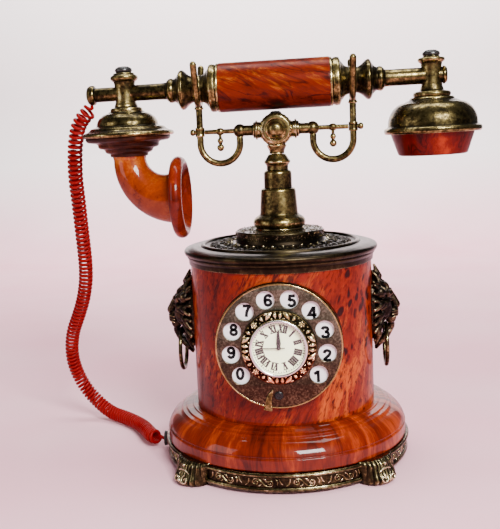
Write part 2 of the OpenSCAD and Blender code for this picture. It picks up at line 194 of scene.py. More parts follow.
def bronze(name, stops, lean=0.0, rough=(0.5, 0.26), grain=420, pits=0.00012, blotch=0.9, speck=1.0,
           low=None):
    """Antique plate: worn bright where the mesh says that an edge stands out, and dark in its hollows. lean
    makes it all brighter or darker. low is a second set of colours for the lower part, and the two heights
    in metres that it fades between."""
    middle, wear, blotches, clouds = 0.46, 0.62, 75, 0.6
    p = Paint(name, Metallic=1.0)
    where = p.spot()
    large = p.noise(where, blotches, 4, 0.6)
    small = p.noise(where, grain, 5, 0.2, 0.65)
    uneven = p.add(p.swing(large, blotch), p.swing(small, speck), p.times(p.value("worn"), wear))
    t = p.calc("ADD", uneven, middle + lean, clamp=True)
    colour = p.ramp(t, stops)
    if low:
        low_stops, low_z, high_z = low
        colour = p.mix(p.span(p.along("Z"), low_z, high_z), p.ramp(t, low_stops), colour)
    p.bump(p.add(small, p.times(large, clouds)), 0.35, pits)
    return p.done(colour, p.span(t, 0.1, 0.95, *rough))


OLD_BRONZE = [(0.0, (0.005, 0.004, 0.002)), (0.3, (0.026, 0.019, 0.008)), (0.54, (0.125, 0.092, 0.032)),
              (0.78, (0.37, 0.285, 0.105)), (1.0, (0.82, 0.71, 0.41))]
DARK_BRONZE = [(0.0, (0.005, 0.004, 0.003)), (0.33, (0.017, 0.012, 0.007)), (0.58, (0.053, 0.040, 0.018)),
               (0.8, (0.21, 0.165, 0.072)), (1.0, (0.66, 0.57, 0.35))]
BLACK_BRONZE = [(0.0, (0.004, 0.003, 0.003)), (0.42, (0.014, 0.010, 0.008)), (0.64, (0.055, 0.038, 0.022)),
                (0.82, (0.22, 0.155, 0.08)), (1.0, (0.62, 0.48, 0.27))]
COPPER = [(0.0, (0.012, 0.002, 0.001)), (0.3, (0.06, 0.009, 0.004)), (0.54, (0.20, 0.040, 0.018)),
          (0.78, (0.52, 0.16, 0.07)), (1.0, (0.90, 0.48, 0.26))]
GOLD_EDGE = [(0.0, (0.06, 0.04, 0.016)), (0.4, (0.22, 0.14, 0.045)), (0.7, (0.52, 0.36, 0.13)),
             (1.0, (0.88, 0.70, 0.36))]


def burl_eyes(p, colour, halo, dark, strength, turn):
    """Small dark eyes with a paler halo, most of them at the upper right."""
    cells, stir, stir_scale = 190, 0.008, 90.0
    place = p.spot((1.0, 1.0, 0.5), turn)
    stirring = p.node("TexNoise", None, Vector=place, Scale=stir_scale).outputs["Color"]
    spots = p.cells(p.vector("ADD", i0=place, i1=p.vector("SCALE", i0=stirring, Scale=stir)), cells)
    high = p.span(p.along("Z", p.spot((1, 0, 1), (0, -0.8, 0))), 0.06, 0.10, -0.16, 0.24)
    here = p.span(p.add(p.noise(p.spot(), 30, 2, 0.5), high), 0.56, 0.62)
    for inner, outer, share, tint in ((0.75, 0.46, 0.4, halo), (0.46, 0.30, strength, dark)):
        colour = p.mix(p.times(p.times(p.span(spots, inner, outer), here), share), colour, tint)
    return colour


def wood(name, stretch, deep, mid, light, eyes=0.0, turn=(0, 0, 0), shift=0.5, scale=60, side=0.0, coat=0.6,
         gloss=0.035, veins=0.6, fall=None, stroke=0.0, radial=None):
    """Figured veneer under lacquer, in three colours. shift makes it all lighter. eyes, veins and stroke are
    how strong the burl's eyes, the dark veins and the short slanting dashes are, and side is how much
    painted shade darkens and reddens it to -X and painted light lightens it to +X. fall is two heights in
    metres and how much painted shade darkens it from the upper one down to the lower, as on a shaded
    underside. radial is the radius in metres of a turned base, whose grain runs outwards."""
    p = Paint(name, Coat_Weight=coat, Coat_Roughness=gloss, Specular_IOR_Level=0.05)
    if radial:
        where = fine = p.radial(radial, stretch)
    else:
        where, fine = p.spot(stretch, turn), p.spot([s * 6 if s > 0.5 else s for s in stretch], turn)
    drift = p.noise(where, scale * 0.45, 2, 1.2)
    swirl = p.noise(where, scale, 5, 2.2, 0.6)
    fibre = p.noise(fine, scale * (14 if radial else 4), 3, 0.4)
    t = p.add(p.swing(drift, 1.5), p.swing(swirl, 1.15), p.swing(fibre, 0.5))
    # side: painted shade darkens and reddens it to -X, and painted light lightens it to +X
    if side:
        t = p.add(t, p.span(p.along("X"), -0.06, 0.05, -side, side))
    t = p.add(t, shift)
    # fall: painted shade, darker towards the bottom as on an underside in shade
    if fall:
        low_z, high_z, darker = fall
        t = p.add(t, p.span(p.along("Z"), low_z, high_z, -darker, 0))
    between = [(a + 2 * b) / 3 for a, b in zip(deep, mid)]
    colour = p.ramp(t, [(0.0, deep), (0.3, between), (0.55, mid), (0.95, light)], "EASE")
    vein = p.calc("ABSOLUTE", p.calc("SUBTRACT", p.noise(where, scale * 0.9, 3, 1.6), 0.5))
    dark = p.times(p.span(vein, 0.0, 0.045, veins, 0), p.span(drift, 0.42, 0.6, 1, 0.15))
    colour = p.mix(dark, colour, deep)
    if stroke:
        dashes = p.span(p.noise(p.spot((1.0, 1.0, 0.2), turn), 560, 2, 0.6), 0.50, 0.66, 0, stroke)
        colour = p.mix(p.times(dashes, p.span(drift, 0.4, 0.55, 0.6, 1)), colour, deep)
    if eyes:
        colour = burl_eyes(p, colour, mid, deep, eyes, turn)
    p.bump(fibre, 0.05, 0.0002)
    return p.done(colour, p.span(swirl, 0.3, 0.7, 0.42, 0.3))


def plain(name, colour, other, scale, rough=(0.35, 0.45), bump=0.1, distance=0.0002, **sockets):
    """A moulded, painted or felted surface with a faint variation of its own."""
    p = Paint(name, **sockets)
    where = p.spot()
    large, small = p.noise(where, scale, 4), p.noise(where, scale * 9, 3)
    t = p.add(p.times(large, 0.6), p.times(small, 0.4))
    p.bump(small, bump, distance)
    return p.done(p.mix(p.span(t, 0.35, 0.65), colour, other), p.span(large, 0.35, 0.65, *rough))


def brushed(name, colour, other, rough=(0.28, 0.42)):
    """Metal with the fine rings that turning leaves."""
    p = Paint(name, Metallic=1.0)
    fine = p.noise(p.spot((1, 0.1, 1)), 900, 2)
    large = p.noise(p.spot(), 120, 3)
    p.bump(fine, 0.08, 0.0001)
    return p.done(p.mix(p.span(large, 0.3, 0.7), colour, other), p.span(fine, 0.3, 0.7, *rough))


def glass(name):
    p = Paint(name, Transmission_Weight=1.0, IOR=1.45, Base_Color=(1, 1, 1, 1))
    smear = p.noise(p.spot(), 60, 2)
    return p.done(None, p.span(smear, 0.3, 0.7, 0.0, 0.03))


# The finger wheel's colours: the upper ones are lighter and greener, a painted reflection of the light, and
# the lower ones are darker brown.
WHEEL_TOP_PAINTED_SHEEN = [(0.0, (0.010, 0.008, 0.006)), (0.35, (0.030, 0.027, 0.019)), (0.6, (0.078, 0.073, 0.050)),
             (0.84, (0.22, 0.205, 0.145)), (1.0, (0.58, 0.54, 0.40))]
WHEEL_LOW = [(0.0, (0.005, 0.003, 0.002)), (0.35, (0.015, 0.008, 0.006)), (0.6, (0.040, 0.022, 0.014)),
             (0.84, (0.15, 0.095, 0.055)), (1.0, (0.5, 0.36, 0.2))]
MAT = {
    "bronze": bronze("bronze", OLD_BRONZE, 0.05, (0.44, 0.2), speck=1.4),
    "bronze_dark": bronze("bronze_dark", DARK_BRONZE, 0.0, (0.40, 0.2), speck=1.2),
    "dome": bronze("dome_bronze", OLD_BRONZE, -0.01, (0.34, 0.16), 460, speck=1.4),
    "cradle": bronze("cradle_bronze", OLD_BRONZE, -0.07, (0.40, 0.2), speck=1.3),
    "lid": bronze("lid_bronze", DARK_BRONZE, -0.15, (0.36, 0.22), 300, 0.00006, 0.5, 0.8),
    "tube": bronze("tube_bronze", OLD_BRONZE, -0.10, (0.38, 0.18), speck=1.3),
    "lion": bronze("lion_bronze", BLACK_BRONZE, 0.02, (0.42, 0.26)),
    "gold": bronze("gold_edge", GOLD_EDGE, -0.2, (0.34, 0.22)),
    # the finger wheel fades from a painted sheen at the top to darker brown at the bottom
    "wheel": bronze("wheel_bronze", WHEEL_TOP_PAINTED_SHEEN, -0.06, (0.5, 0.34), 700, 0.00008, 0.5, 1.0,
                    low=(WHEEL_LOW, 0.058, 0.108)),
    "wreath": bronze("wreath_bronze", OLD_BRONZE, -0.10, (0.42, 0.26), low=(COPPER, 0.068, 0.090)),
    # side: painted shade darkens the drum and the base to -X, and painted light lightens them to +X
    "drum": wood("drum_burl", (1, 1, 0.35), (0.018, 0.001, 0.001), (0.18, 0.010, 0.0016),
                 (0.42, 0.062, 0.005), eyes=1.0, turn=(0, -0.5, 0), shift=0.58, side=0.08, coat=0.2,
                 veins=0.3, stroke=0.85),
    "base": wood("base_burl", (0.2, 0.2, 0.25), (0.014, 0.001, 0.001), (0.14, 0.010, 0.0016),
                 (0.34, 0.040, 0.005), shift=0.52, side=0.04, coat=0.48, radial=0.075),
    # fall: painted shade darkens the grip's and the horn's lower parts
    "grip": wood("grip_wood", (0.22, 1, 1), (0.008, 0.001, 0.001), (0.12, 0.009, 0.0015),
                 (0.36, 0.085, 0.005), turn=(0, -0.42, 0), shift=0.55, scale=90, coat=0.05, gloss=0.05,
                 veins=0.85, fall=(0.216, 0.234, 0.7)),
    "horn": wood("horn_wood", (0.6, 1, 0.6), (0.05, 0.002, 0.001), (0.23, 0.029, 0.0015), (0.46, 0.13, 0.009),
                 shift=0.66, scale=50, coat=0.5, veins=0.35, fall=(0.150, 0.200, 0.4)),
    "bell": wood("bell_wood", (0.6, 1, 0.6), (0.022, 0.001, 0.001), (0.14, 0.009, 0.002),
                 (0.36, 0.045, 0.006), scale=55, coat=0.3),
    "cup": wood("cup_wood", (1, 1, 0.12), (0.016, 0.001, 0.001), (0.11, 0.004, 0.0012), (0.26, 0.022, 0.004),
                shift=0.46, scale=110, coat=0.1, veins=0.9),
    "rings": wood("ring_wood", (1, 1, 0.4), (0.007, 0.003, 0.002), (0.030, 0.007, 0.003),
                  (0.12, 0.030, 0.010), shift=0.48, scale=70, coat=0.1),
    "white": plain("dial_white", (0.93, 0.92, 0.92), (0.97, 0.97, 0.97), 90, (0.3, 0.38), 0.03),
    "ink": plain("digit_ink", (0.004, 0.004, 0.005), (0.010, 0.009, 0.010), 300, (0.5, 0.6),
                 Specular_IOR_Level=0.1),
    "print": plain("face_print", (0.004, 0.004, 0.004), (0.012, 0.012, 0.010), 500, (0.5, 0.6),
                   Specular_IOR_Level=0.1),
    "paper": plain("clock_paper", (0.93, 0.97, 0.58), (0.95, 0.98, 0.66), 60, (0.5, 0.62), 0.05),
    "silver": brushed("bezel_silver", (0.66, 0.65, 0.62), (0.85, 0.84, 0.80), (0.16, 0.26)),
    "steel": brushed("hand_steel", (0.16, 0.14, 0.12), (0.25, 0.22, 0.20)),
    "hands": plain("hand_black", (0.003, 0.003, 0.003), (0.007, 0.006, 0.006), 200, (0.42, 0.5),
                   Specular_IOR_Level=0.1),
    "black": plain("black_plastic", (0.010, 0.009, 0.009), (0.02, 0.018, 0.016), 150, (0.24, 0.36)),
    "screw": plain("screw_black", (0.008, 0.008, 0.009), (0.02, 0.018, 0.018), 260, (0.2, 0.35),
                   Metallic=0.6),
    "felt": plain("felt", (0.02, 0.018, 0.016), (0.05, 0.045, 0.04), 700, (0.9, 0.98), 0.6, 0.0004),
    "plate": plain("plate_steel", (0.20, 0.20, 0.21), (0.32, 0.32, 0.33), 80, (0.35, 0.5), Metallic=1.0),
    "board": plain("board_green", (0.02, 0.12, 0.045), (0.03, 0.20, 0.07), 120, (0.3, 0.4)),
    "ivory": plain("jack_ivory", (0.62, 0.57, 0.42), (0.70, 0.65, 0.50), 60, (0.3, 0.38), 0.05),
    "rubber": plain("rubber", (0.012, 0.011, 0.010), (0.022, 0.02, 0.018), 200, (0.55, 0.7)),
    "cord": plain("cord_red", (0.17, 0.0005, 0.001), (0.24, 0.001, 0.002), 90, (0.36, 0.46), 0.05,
                  Specular_IOR_Level=0.1),
    "glass": glass("clock_glass"),
}


# ---------------------------------------------------------------- shapes
def rounded(outline, radius=0.3, closed=True, steps=3):
    """The outline with each corner turned into a small curve, and a support point on each side of it."""
    pts = [np.array(p[:2], float) for p in outline]
    radii = [p[2] if len(p) > 2 else radius for p in outline]
    n, out = len(pts), []
    for i, p in enumerate(pts):
        if not closed and i in (0, n - 1):
            out.append(p)
            continue
        a, b = pts[i - 1] - p, pts[(i + 1) % n] - p
        la, lb = np.linalg.norm(a), np.linalg.norm(b)
        if la < 1e-6 or lb < 1e-6:
            continue
        a, b = a / la, b / lb
        if -(a @ b) > 0.985 or (p[0] < 1e-6):
            out.append(p)
            continue
        r = min(radii[i], la * 0.42, lb * 0.42)
        extra = min(r * 0.35, la * 0.05, lb * 0.05)
        out.append(p + a * (r + extra))
        for k in range(steps + 1):
            t = k / steps
            out.append((1 - t) ** 2 * (p + a * r) + 2 * t * (1 - t) * p + t * t * (p + b * r))
        out.append(p + b * (r + extra))
    return np.array(out)


def bow(x, y, r, a0, a1, n=10):
    """An arc of an outline, from angle a0 to a1 in degrees."""
    return [(x + r * math.cos(math.radians(a0 + (a1 - a0) * i / n)),
             y + r * math.sin(math.radians(a0 + (a1 - a0) * i / n)), 0)
            for i in range(n + 1)]


def smooth_path(points, step):
    """Points a fixed step apart on a smooth curve through the given points."""
    p = np.array(points, float)
    ends = np.vstack([2 * p[0] - p[1], p, 2 * p[-1] - p[-2]])
    fine = []
    for i in range(1, len(ends) - 2):
        for t in np.linspace(0, 1, 24, endpoint=False):
            a, b, c, d = ends[i - 1:i + 3]
            fine.append(0.5 * (2 * b + (c - a) * t + (2 * a - 5 * b + 4 * c - d) * t * t
                               + (3 * b - a - 3 * c + d) * t ** 3))
    fine = np.array(fine + [p[-1]])
    run = np.concatenate([[0], np.cumsum(np.linalg.norm(np.diff(fine, axis=0), axis=1))])
    count = max(2, int(round(run[-1] / step)))
    at = np.linspace(0, run[-1], count + 1)
    return np.stack([np.interp(at, run, fine[:, k]) for k in range(3)], 1)


def carried(t, first):
    """The first direction carried along a path without twisting, square to each of its directions t."""
    u = np.zeros_like(t)
    u[0] = first / np.linalg.norm(first)
    for i in range(1, len(t)):
        u[i] = u[i - 1] - t[i] * (u[i - 1] @ t[i])
        u[i] /= np.linalg.norm(u[i])
    return u


def axis_frame(direction):
    """A matrix whose Z is the given direction."""
    return Vector(direction).to_track_quat("Z", "Y").to_matrix().to_4x4()


def seat(node, low, high, direction=(0, 0, 1), lean=0.0):
    """Where a shape goes whose axis runs from low to high: it lies in the middle of the CAD node's box."""
    lo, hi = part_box(node)
    return (Matrix.Translation((lo + hi) / 2 / MM) @ Matrix.Rotation(-lean, 4, "Y") @ axis_frame(direction)
            @ Matrix.Translation((0, 0, -(low + high) / 2)))


class Shape:
    """Vertices and faces in mm, and how bright each vertex stands out in worn metal."""

    def __init__(self):
        self.verts, self.faces, self.tones, self.count = [], [], [], 0

    def add(self, verts, faces, tone=0.0, at=None):
        verts = np.array(verts, float).reshape(-1, 3)
        if at is not None:
            m = np.array(at)
            verts = verts @ m[:3, :3].T + m[:3, 3]
        self.verts.append(verts)
        self.faces += [tuple(int(i) + self.count for i in f) for f in faces]
        self.tones.append(np.broadcast_to(np.asarray(tone, float), (len(verts),)).copy())
        self.count += len(verts)
        return self

    def rings(self, rows, wrap=True, close=False, tone=0.0, at=None):
        """Faces between rows of points, each row a ring if wrap is true."""
        rows = np.array(rows, float)
        m, n = rows.shape[:2]
        if np.ndim(tone) == 2:
            tone = np.asarray(tone).reshape(-1)
        faces = []
        for i in range(m if close else m - 1):
            a, b = i * n, ((i + 1) % m) * n
            faces += [(a + k, a + (k + 1) % n, b + (k + 1) % n, b + k) for k in range(n if wrap else n - 1)]
        return self.add(rows.reshape(-1, 3), faces, tone, at)

    def turned(self, outline, at=None, sides=112, radius=0.3, closed=True, tone=0.0, lobes=None):
        """An outline of (radius, height) points turned about Z. lobes(angle) scales the radius."""
        pts = rounded(outline, radius, closed)
        angle = np.arange(sides) / sides * TAU
        r = pts[:, :1] * (lobes(angle) if lobes else np.ones(sides))[None, :]
        rows = np.stack([r * np.cos(angle), r * np.sin(angle), np.repeat(pts[:, 1:], sides, 1)], -1)
        return self.rings(rows, True, closed, tone, at)

    def tube(self, points, radii, sides=10, closed=False, flat=1.0, up=None, tone=None):
        """A round bar along points. up is the direction of its thickness, which flat scales. With up given
        and no tone, it is brightest on top."""
        p = np.array(points, float)
        n = len(p)
        r = np.broadcast_to(np.asarray(radii, float), (n,)).copy()
        if closed:
            t = np.roll(p, -1, 0) - np.roll(p, 1, 0)
        else:
            t = np.gradient(p, axis=0)
        t /= np.linalg.norm(t, axis=1)[:, None] + 1e-12
        if not closed:
            ends = (0.5, 0.87)
            first = [(p[0] - t[0] * r[0] * s, r[0] * math.sqrt(1 - s * s), t[0]) for s in ends[::-1]]
            last = [(p[-1] + t[-1] * r[-1] * s, r[-1] * math.sqrt(1 - s * s), t[-1]) for s in ends]
            tips = [(p[0] - t[0] * r[0], 0.0, t[0])], [(p[-1] + t[-1] * r[-1], 0.0, t[-1])]
            rows = tips[0] + first + list(zip(p, r, t)) + last + tips[1]
            p, r, t = (np.array([row[k] for row in rows]) for k in range(3))
            if up is not None and np.ndim(up) == 2:
                up = np.vstack([[up[0]] * 3, up, [up[-1]] * 3])
        if up is None:
            start = np.array([0, 0, 1.0]) if abs(t[0][2]) < 0.9 else np.array([1.0, 0, 0])
            u = carried(t, np.cross(t[0], start))
            v = np.cross(t, u)
        else:
            v = np.broadcast_to(np.asarray(up, float), p.shape)
            u = np.cross(v, t)
            u /= np.linalg.norm(u, axis=1)[:, None] + 1e-12
            v = np.cross(t, u)
        a = np.arange(sides) / sides * TAU
        rows = (p[:, None] + r[:, None, None] * (np.cos(a)[None, :, None] * u[:, None]
                + flat * np.sin(a)[None, :, None] * v[:, None]))
        if tone is None:
            tone = np.repeat((0.95 * np.sin(a) - 0.1)[None], len(p), 0) if up is not None else 0.0
        return self.rings(rows, True, closed, tone)

    def blob(self, centre, size, tone=0.0, n=16):
        """A rounded lump: size is its three half widths."""
        lat = np.linspace(-math.pi / 2, math.pi / 2, n // 2 + 1)
        lon = np.arange(n) / n * TAU
        rows = np.stack([np.cos(lat)[:, None] * np.cos(lon), np.cos(lat)[:, None] * np.sin(lon),
                         np.repeat(np.sin(lat)[:, None], n, 1)], -1)
        return self.rings(rows * np.array(size, float) + np.array(centre, float), tone=tone)

    def plate(self, outline, low, high, at=None):
        """A flat piece between two heights."""
        pts = np.array(outline, float)
        n = len(pts)
        verts = np.vstack([np.c_[pts, np.full(n, low)], np.c_[pts, np.full(n, high)]])
        faces = ([tuple(range(n))[::-1], tuple(range(n, 2 * n))]
                 + [(k, (k + 1) % n, n + (k + 1) % n, n + k) for k in range(n)])
        return self.add(verts, faces, 0.0, at)

    def mesh(self, name):
        """The mesh in metres, its doubled points merged and its faces turned outwards."""
        me = bpy.data.meshes.new(name)
        me.from_pydata((np.vstack(self.verts) * MM).tolist(), [], self.faces)
        tones = np.concatenate(self.tones).astype(np.float32)
        me.attributes.new("tone", "FLOAT", "POINT").data.foreach_set("value", tones)
        bm = bmesh.new()
        bm.from_mesh(me)
        bmesh.ops.remove_doubles(bm, verts=bm.verts, dist=2e-6)
        bmesh.ops.recalc_face_normals(bm, faces=bm.faces)
        bm.to_mesh(me)
        bm.free()
        return me

    def make(self, name, body, paint, replaces=(), slot=None, sharp=50, soft=2):
        """The finished piece. soft is how many times the wear on its edges is spread to their neighbours."""
        me = self.mesh(name)
        wear(me, soft)
        return placed(name, me, body, paint, replaces, sharp)


def wear(me, soft=2):
    """Writes how much each vertex stands out, from the mesh's curvature per mm and its tone, as the value
    that worn metal reads. soft is how many times it is spread to the neighbours."""
    sharpness, keep = 0.55, 0.9
    n = len(me.vertices)
    co, no, edges = np.zeros(n * 3), np.zeros(n * 3), np.zeros(len(me.edges) * 2, int)
    me.vertices.foreach_get("co", co)
    me.vertices.foreach_get("normal", no)
    me.edges.foreach_get("vertices", edges)
    co, no, (a, b) = co.reshape(-1, 3) / MM, no.reshape(-1, 3), edges.reshape(-1, 2).T
    along = co[a] - co[b]
    length = np.maximum((along ** 2).sum(1), 1e-6)
    curve, count = np.zeros(n), np.zeros(n)
    np.add.at(curve, a, 2 * (along * no[a]).sum(1) / length)
    np.add.at(curve, b, -2 * (along * no[b]).sum(1) / length)
    np.add.at(count, a, 1)
    np.add.at(count, b, 1)
    count = np.maximum(count, 1)
    worn = np.tanh(curve / count * sharpness)
    for _ in range(soft):
        around = np.zeros(n)
        np.add.at(around, a, worn[b])
        np.add.at(around, b, worn[a])
        worn = (np.sign(worn + around)
                * np.maximum(np.abs(worn) * keep, np.abs(0.5 * worn + 0.5 * around / count)))
    tone = np.zeros(n, np.float32)
    if "tone" in me.attributes:
        me.attributes["tone"].data.foreach_get("value", tone)
    me.attributes.new("worn", "FLOAT", "POINT").data.foreach_set(
        "value", np.clip(worn + tone, -1, 1).astype(np.float32))


def placed(name, me, body, paint, replaces=(), sharp=50):
    """A piece in the scene. It rides on a body, unless it is the cord, and may replace CAD nodes."""
    me.polygons.foreach_set("use_smooth", [True] * len(me.polygons))
    me.set_sharp_from_angle(angle=math.radians(sharp))
    o = bpy.data.objects.new(name, me)
    bpy.context.scene.collection.objects.link(o)
    me.materials.append(MAT[paint])
    if body:
        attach(o, body)
    if replaces:
        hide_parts(*replaces)
    return o


def lathe(name, body, paint, outline, at, sides=128, replaces=(), solid=False, soft=2):
    """One turned piece. A solid one's outline starts and ends on the axis, and the others' outlines close."""
    Shape().turned(outline, at, sides, closed=not solid).make(name, body, paint, replaces, soft=soft)


INK = 0.05  # thickness of a printed line


def ribbon(shape, line, half, top, at, closed=False):
    """A flat line of ink of even width."""
    p = np.array(line, float)[:, :2]
    if closed:
        t = np.roll(p, -1, 0) - np.roll(p, 1, 0)
        side = np.stack([-t[:, 1], t[:, 0]], 1)
        side /= np.linalg.norm(side, axis=1)[:, None]
        wide = np.full(len(p), half)
    else:
        step = np.diff(p, axis=0)
        step /= np.linalg.norm(step, axis=1)[:, None]
        before, after = np.vstack([step[:1], step]), np.vstack([step, step[-1:]])
        t = before + after
        t /= np.linalg.norm(t, axis=1)[:, None]
        side = np.stack([-t[:, 1], t[:, 0]], 1)
        wide = half / np.maximum(0.45, (t * before).sum(1))
    edge = side * wide[:, None]
    low, high = np.full(len(p), top), np.full(len(p), top + INK)
    rows = np.stack([np.c_[p - edge, low], np.c_[p + edge, low], np.c_[p + edge, high],
                     np.c_[p - edge, high]], 1)
    start = shape.count
    shape.rings(rows, True, closed, 0, at)
    if not closed:
        shape.faces += [tuple(start + k for k in (3, 2, 1, 0)), tuple(shape.count - 4 + k for k in range(4))]


OVAL = 40  # points in an oval, by which digit() knows it for a closed line


def oval(x, y, rx, ry):
    return [(x + rx * math.cos(TAU * k / OVAL), y + ry * math.sin(TAU * k / OVAL)) for k in range(OVAL)]


def soft_line(*points):
    return smooth_path([(x, y, 0) for x, y in points], 0.025)


SIX = soft_line((0.47, 0.73), (0.40, 0.87), (0.28, 0.91), (0.15, 0.81), (0.09, 0.56), (0.10, 0.30),
                (0.17, 0.14), (0.29, 0.09), (0.42, 0.16), (0.47, 0.32), (0.41, 0.48), (0.29, 0.55),
                (0.17, 0.49), (0.10, 0.36))
DIGITS = {
    "0": [oval(0.28, 0.5, 0.19, 0.41)],
    "1": [[(0.34, 0), (0.34, 1.0)], [(0.07, 0.70), (0.19, 0.77), (0.30, 0.90)]],
    "2": [soft_line((0.09, 0.68), (0.14, 0.84), (0.28, 0.91), (0.43, 0.84), (0.47, 0.70), (0.40, 0.52),
                    (0.25, 0.34), (0.13, 0.20), (0.09, 0.11)),
          [(0.02, 0.09), (0.53, 0.09)]],
    "3": [soft_line((0.08, 0.73), (0.14, 0.87), (0.28, 0.91), (0.41, 0.85), (0.44, 0.71), (0.37, 0.57),
                    (0.24, 0.53)),
          soft_line((0.24, 0.53), (0.39, 0.50), (0.47, 0.37), (0.46, 0.21), (0.36, 0.11), (0.25, 0.09),
                    (0.13, 0.15), (0.07, 0.29))],
    "4": [[(0.34, 0.96), (0.04, 0.31), (0.55, 0.31)], [(0.38, 0), (0.38, 1.0)]],
    "5": [[(0.50, 0.91), (0.17, 0.91), (0.12, 0.50)],
          soft_line((0.12, 0.51), (0.21, 0.58), (0.32, 0.58), (0.43, 0.49), (0.47, 0.33), (0.42, 0.17),
                    (0.28, 0.09), (0.14, 0.14), (0.07, 0.27))],
    "6": [SIX],
    "7": [[(0.03, 0.91), (0.50, 0.91), (0.37, 0.68), (0.27, 0.38), (0.23, 0)]],
    "8": [oval(0.28, 0.71, 0.155, 0.19), oval(0.28, 0.29, 0.19, 0.20)],
    "9": [[(0.56 - p[0], 1 - p[1]) for p in SIX]],
}


def digit(shape, which, size, at, top):
    """One bold upright digit, its middle at the origin."""
    wide, tall, stroke, middle = 1.22, 0.96, 0.122, (0.28, 0.5)
    for line in DIGITS[which]:
        line = [((p[0] - middle[0]) * size * wide, (p[1] - middle[1]) * size * tall) for p in line]
        ribbon(shape, line, stroke * size, top, at, len(line) == OVAL)


def roman(shape, text, size, at, top):
    """A Roman numeral with thick and thin strokes between two serif lines."""
    widths = {"I": 0.30, "V": 0.62, "X": 0.64}
    total = sum(widths[c] for c in text) * size
    x, h, thick, thin = -total / 2, size / 2, 0.14 * size, 0.062 * size
    for c in text:
        w = widths[c] * size
        a, b, m = x + 0.15 * w, x + 0.85 * w, x + w / 2
        if c == "I":
            ribbon(shape, [(m, -h), (m, h)], thick, top, at)
        elif c == "V":
            ribbon(shape, [(a, h), (m, -h)], thick, top, at)
            ribbon(shape, [(m, -h), (b, h)], thin, top, at)
        else:
            ribbon(shape, [(a, h), (b, -h)], thick, top, at)
            ribbon(shape, [(b, h), (a, -h)], thin, top, at)
        x += w
    for y in (-h, h):
        ribbon(shape, [(-total / 2, y), (total / 2, y)], thin, top, at)


# ---------------------------------------------------------------- curly cord
CORD_ROUTE = [
    (-118, 0, 231), (-118.6, 0, 229), (-121, 0, 226.6), (-125, 1, 223), (-129, 3, 217), (-132, 6, 208),
    (-134, 9, 198), (-136, 14, 185), (-137, 20, 170), (-138, 26, 154), (-139, 32, 138), (-140, 37, 124),
    (-142, 42, 111), (-146, 47, 97), (-152, 52, 83), (-158, 56, 70), (-161, 59, 57), (-161, 61, 45),
    (-158, 63, 33), (-152, 63, 22), (-143, 61, 12.5), (-133, 56, 7), (-122, 49, 5.4), (-112, 39, 5.3),
    (-104, 28, 5.6), (-98, 16, 6.4), (-93, 6, 7), (-88, 1, 7.2), (-83.3, 0, 7.2)]
WIRE_R, COIL_R = 1.08, 4.1


def ease(share):
    """A share from 0 to 1 that starts and ends gently."""
    share = np.clip(share, 0, 1)
    return share ** 2 * (3 - 2 * share)


def curly_cord():
    """A helix of wire round the route, closing up to a plain wire at both ends."""
    step, per_turn = 0.1, 16
    pitch_top, pitch_drop = 3.5, 0.8
    route = smooth_path(CORD_ROUTE, step)
    t = np.gradient(route, axis=0)
    t /= np.linalg.norm(t, axis=1)[:, None]
    u = carried(t, np.cross(t[0], (0, 1.0, 0)))
    v = np.cross(t, u)
    s = np.arange(len(route)) * step
    left = s[-1] - s
    closer = np.clip((s / s[-1] - 0.15) / 0.5, 0, 1)
    pitch = pitch_top - pitch_drop * closer + 6 * (1 - ease(s / 5)) + 12 * (1 - ease(left / 9))
    phase = np.cumsum(TAU * step / pitch)
    radius = COIL_R * ease(s / 3.4) * ease(left / 8)
    line = route + radius[:, None] * (np.cos(phase)[:, None] * u + np.sin(phase)[:, None] * v)
    at = np.arange(phase[0], phase[-1], TAU / per_turn)
    points = np.stack([np.interp(at, phase, line[:, k]) for k in range(3)], 1)
    helix = Shape().tube(points, WIRE_R, 8, tone=0.0)
    cord = helix.make("curly_cord", None, "cord", ["handset_cord"], sharp=80, soft=0)
    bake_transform(cord)


curly_cord()


# ---------------------------------------------------------------- ornament
def spiral(x, y, r0, r1, a0, turns, n=18):
    """Points of a flat spiral from its eye at radius r0 to its mouth at r1."""
    return [(x + (r0 + (r1 - r0) * k / n) * math.cos(a0 + TAU * turns * k / n),
             y + (r0 + (r1 - r0) * k / n) * math.sin(a0 + TAU * turns * k / n)) for k in range(n + 1)]


def leaf(shape, put, points, width, rise=0.0, flat=0.8, sides=8, tone=None):
    """A raised line on a surface, thick in the middle and thin at its ends."""
    line = np.array(points, float)
    if len(line) < 6:
        step = max(0.15, np.linalg.norm(np.diff(line, axis=0), axis=1).sum() / 12)
        line = smooth_path(np.c_[line, np.zeros(len(line))], step)[:, :2]
    share = np.linspace(0, 1, len(line))
    radius = width * (0.25 + 0.75 * np.sin(math.pi * np.clip(share * 0.9 + 0.08, 0, 1)))
    placed_at = [put(u, v, rise) for u, v in line]
    shape.tube([p for p, _ in placed_at], radius, sides, flat=flat, up=np.array([n for _, n in placed_at]),
               tone=tone)


def round_wall(radius, middle, turn):
    """Maps (along, up, out) onto an upright cylinder about Z."""
    def put(u, v, h):
        a = turn + u / radius
        out = np.array([math.cos(a), math.sin(a), 0])
        return out * (radius + h) + np.array([0, 0, middle + v]), out
    return put


def round_slope(radius, top, fall, turn):
    """Maps (along, outwards, up) onto a shallow cone about Z, whose height at the radius is top."""
    def put(u, v, h):
        a = turn + u / radius
        r = radius + v
        out = np.array([math.cos(a) * r, math.sin(a) * r, top - fall * v + h])
        return out, np.array([0, 0, 1.0])
    return put


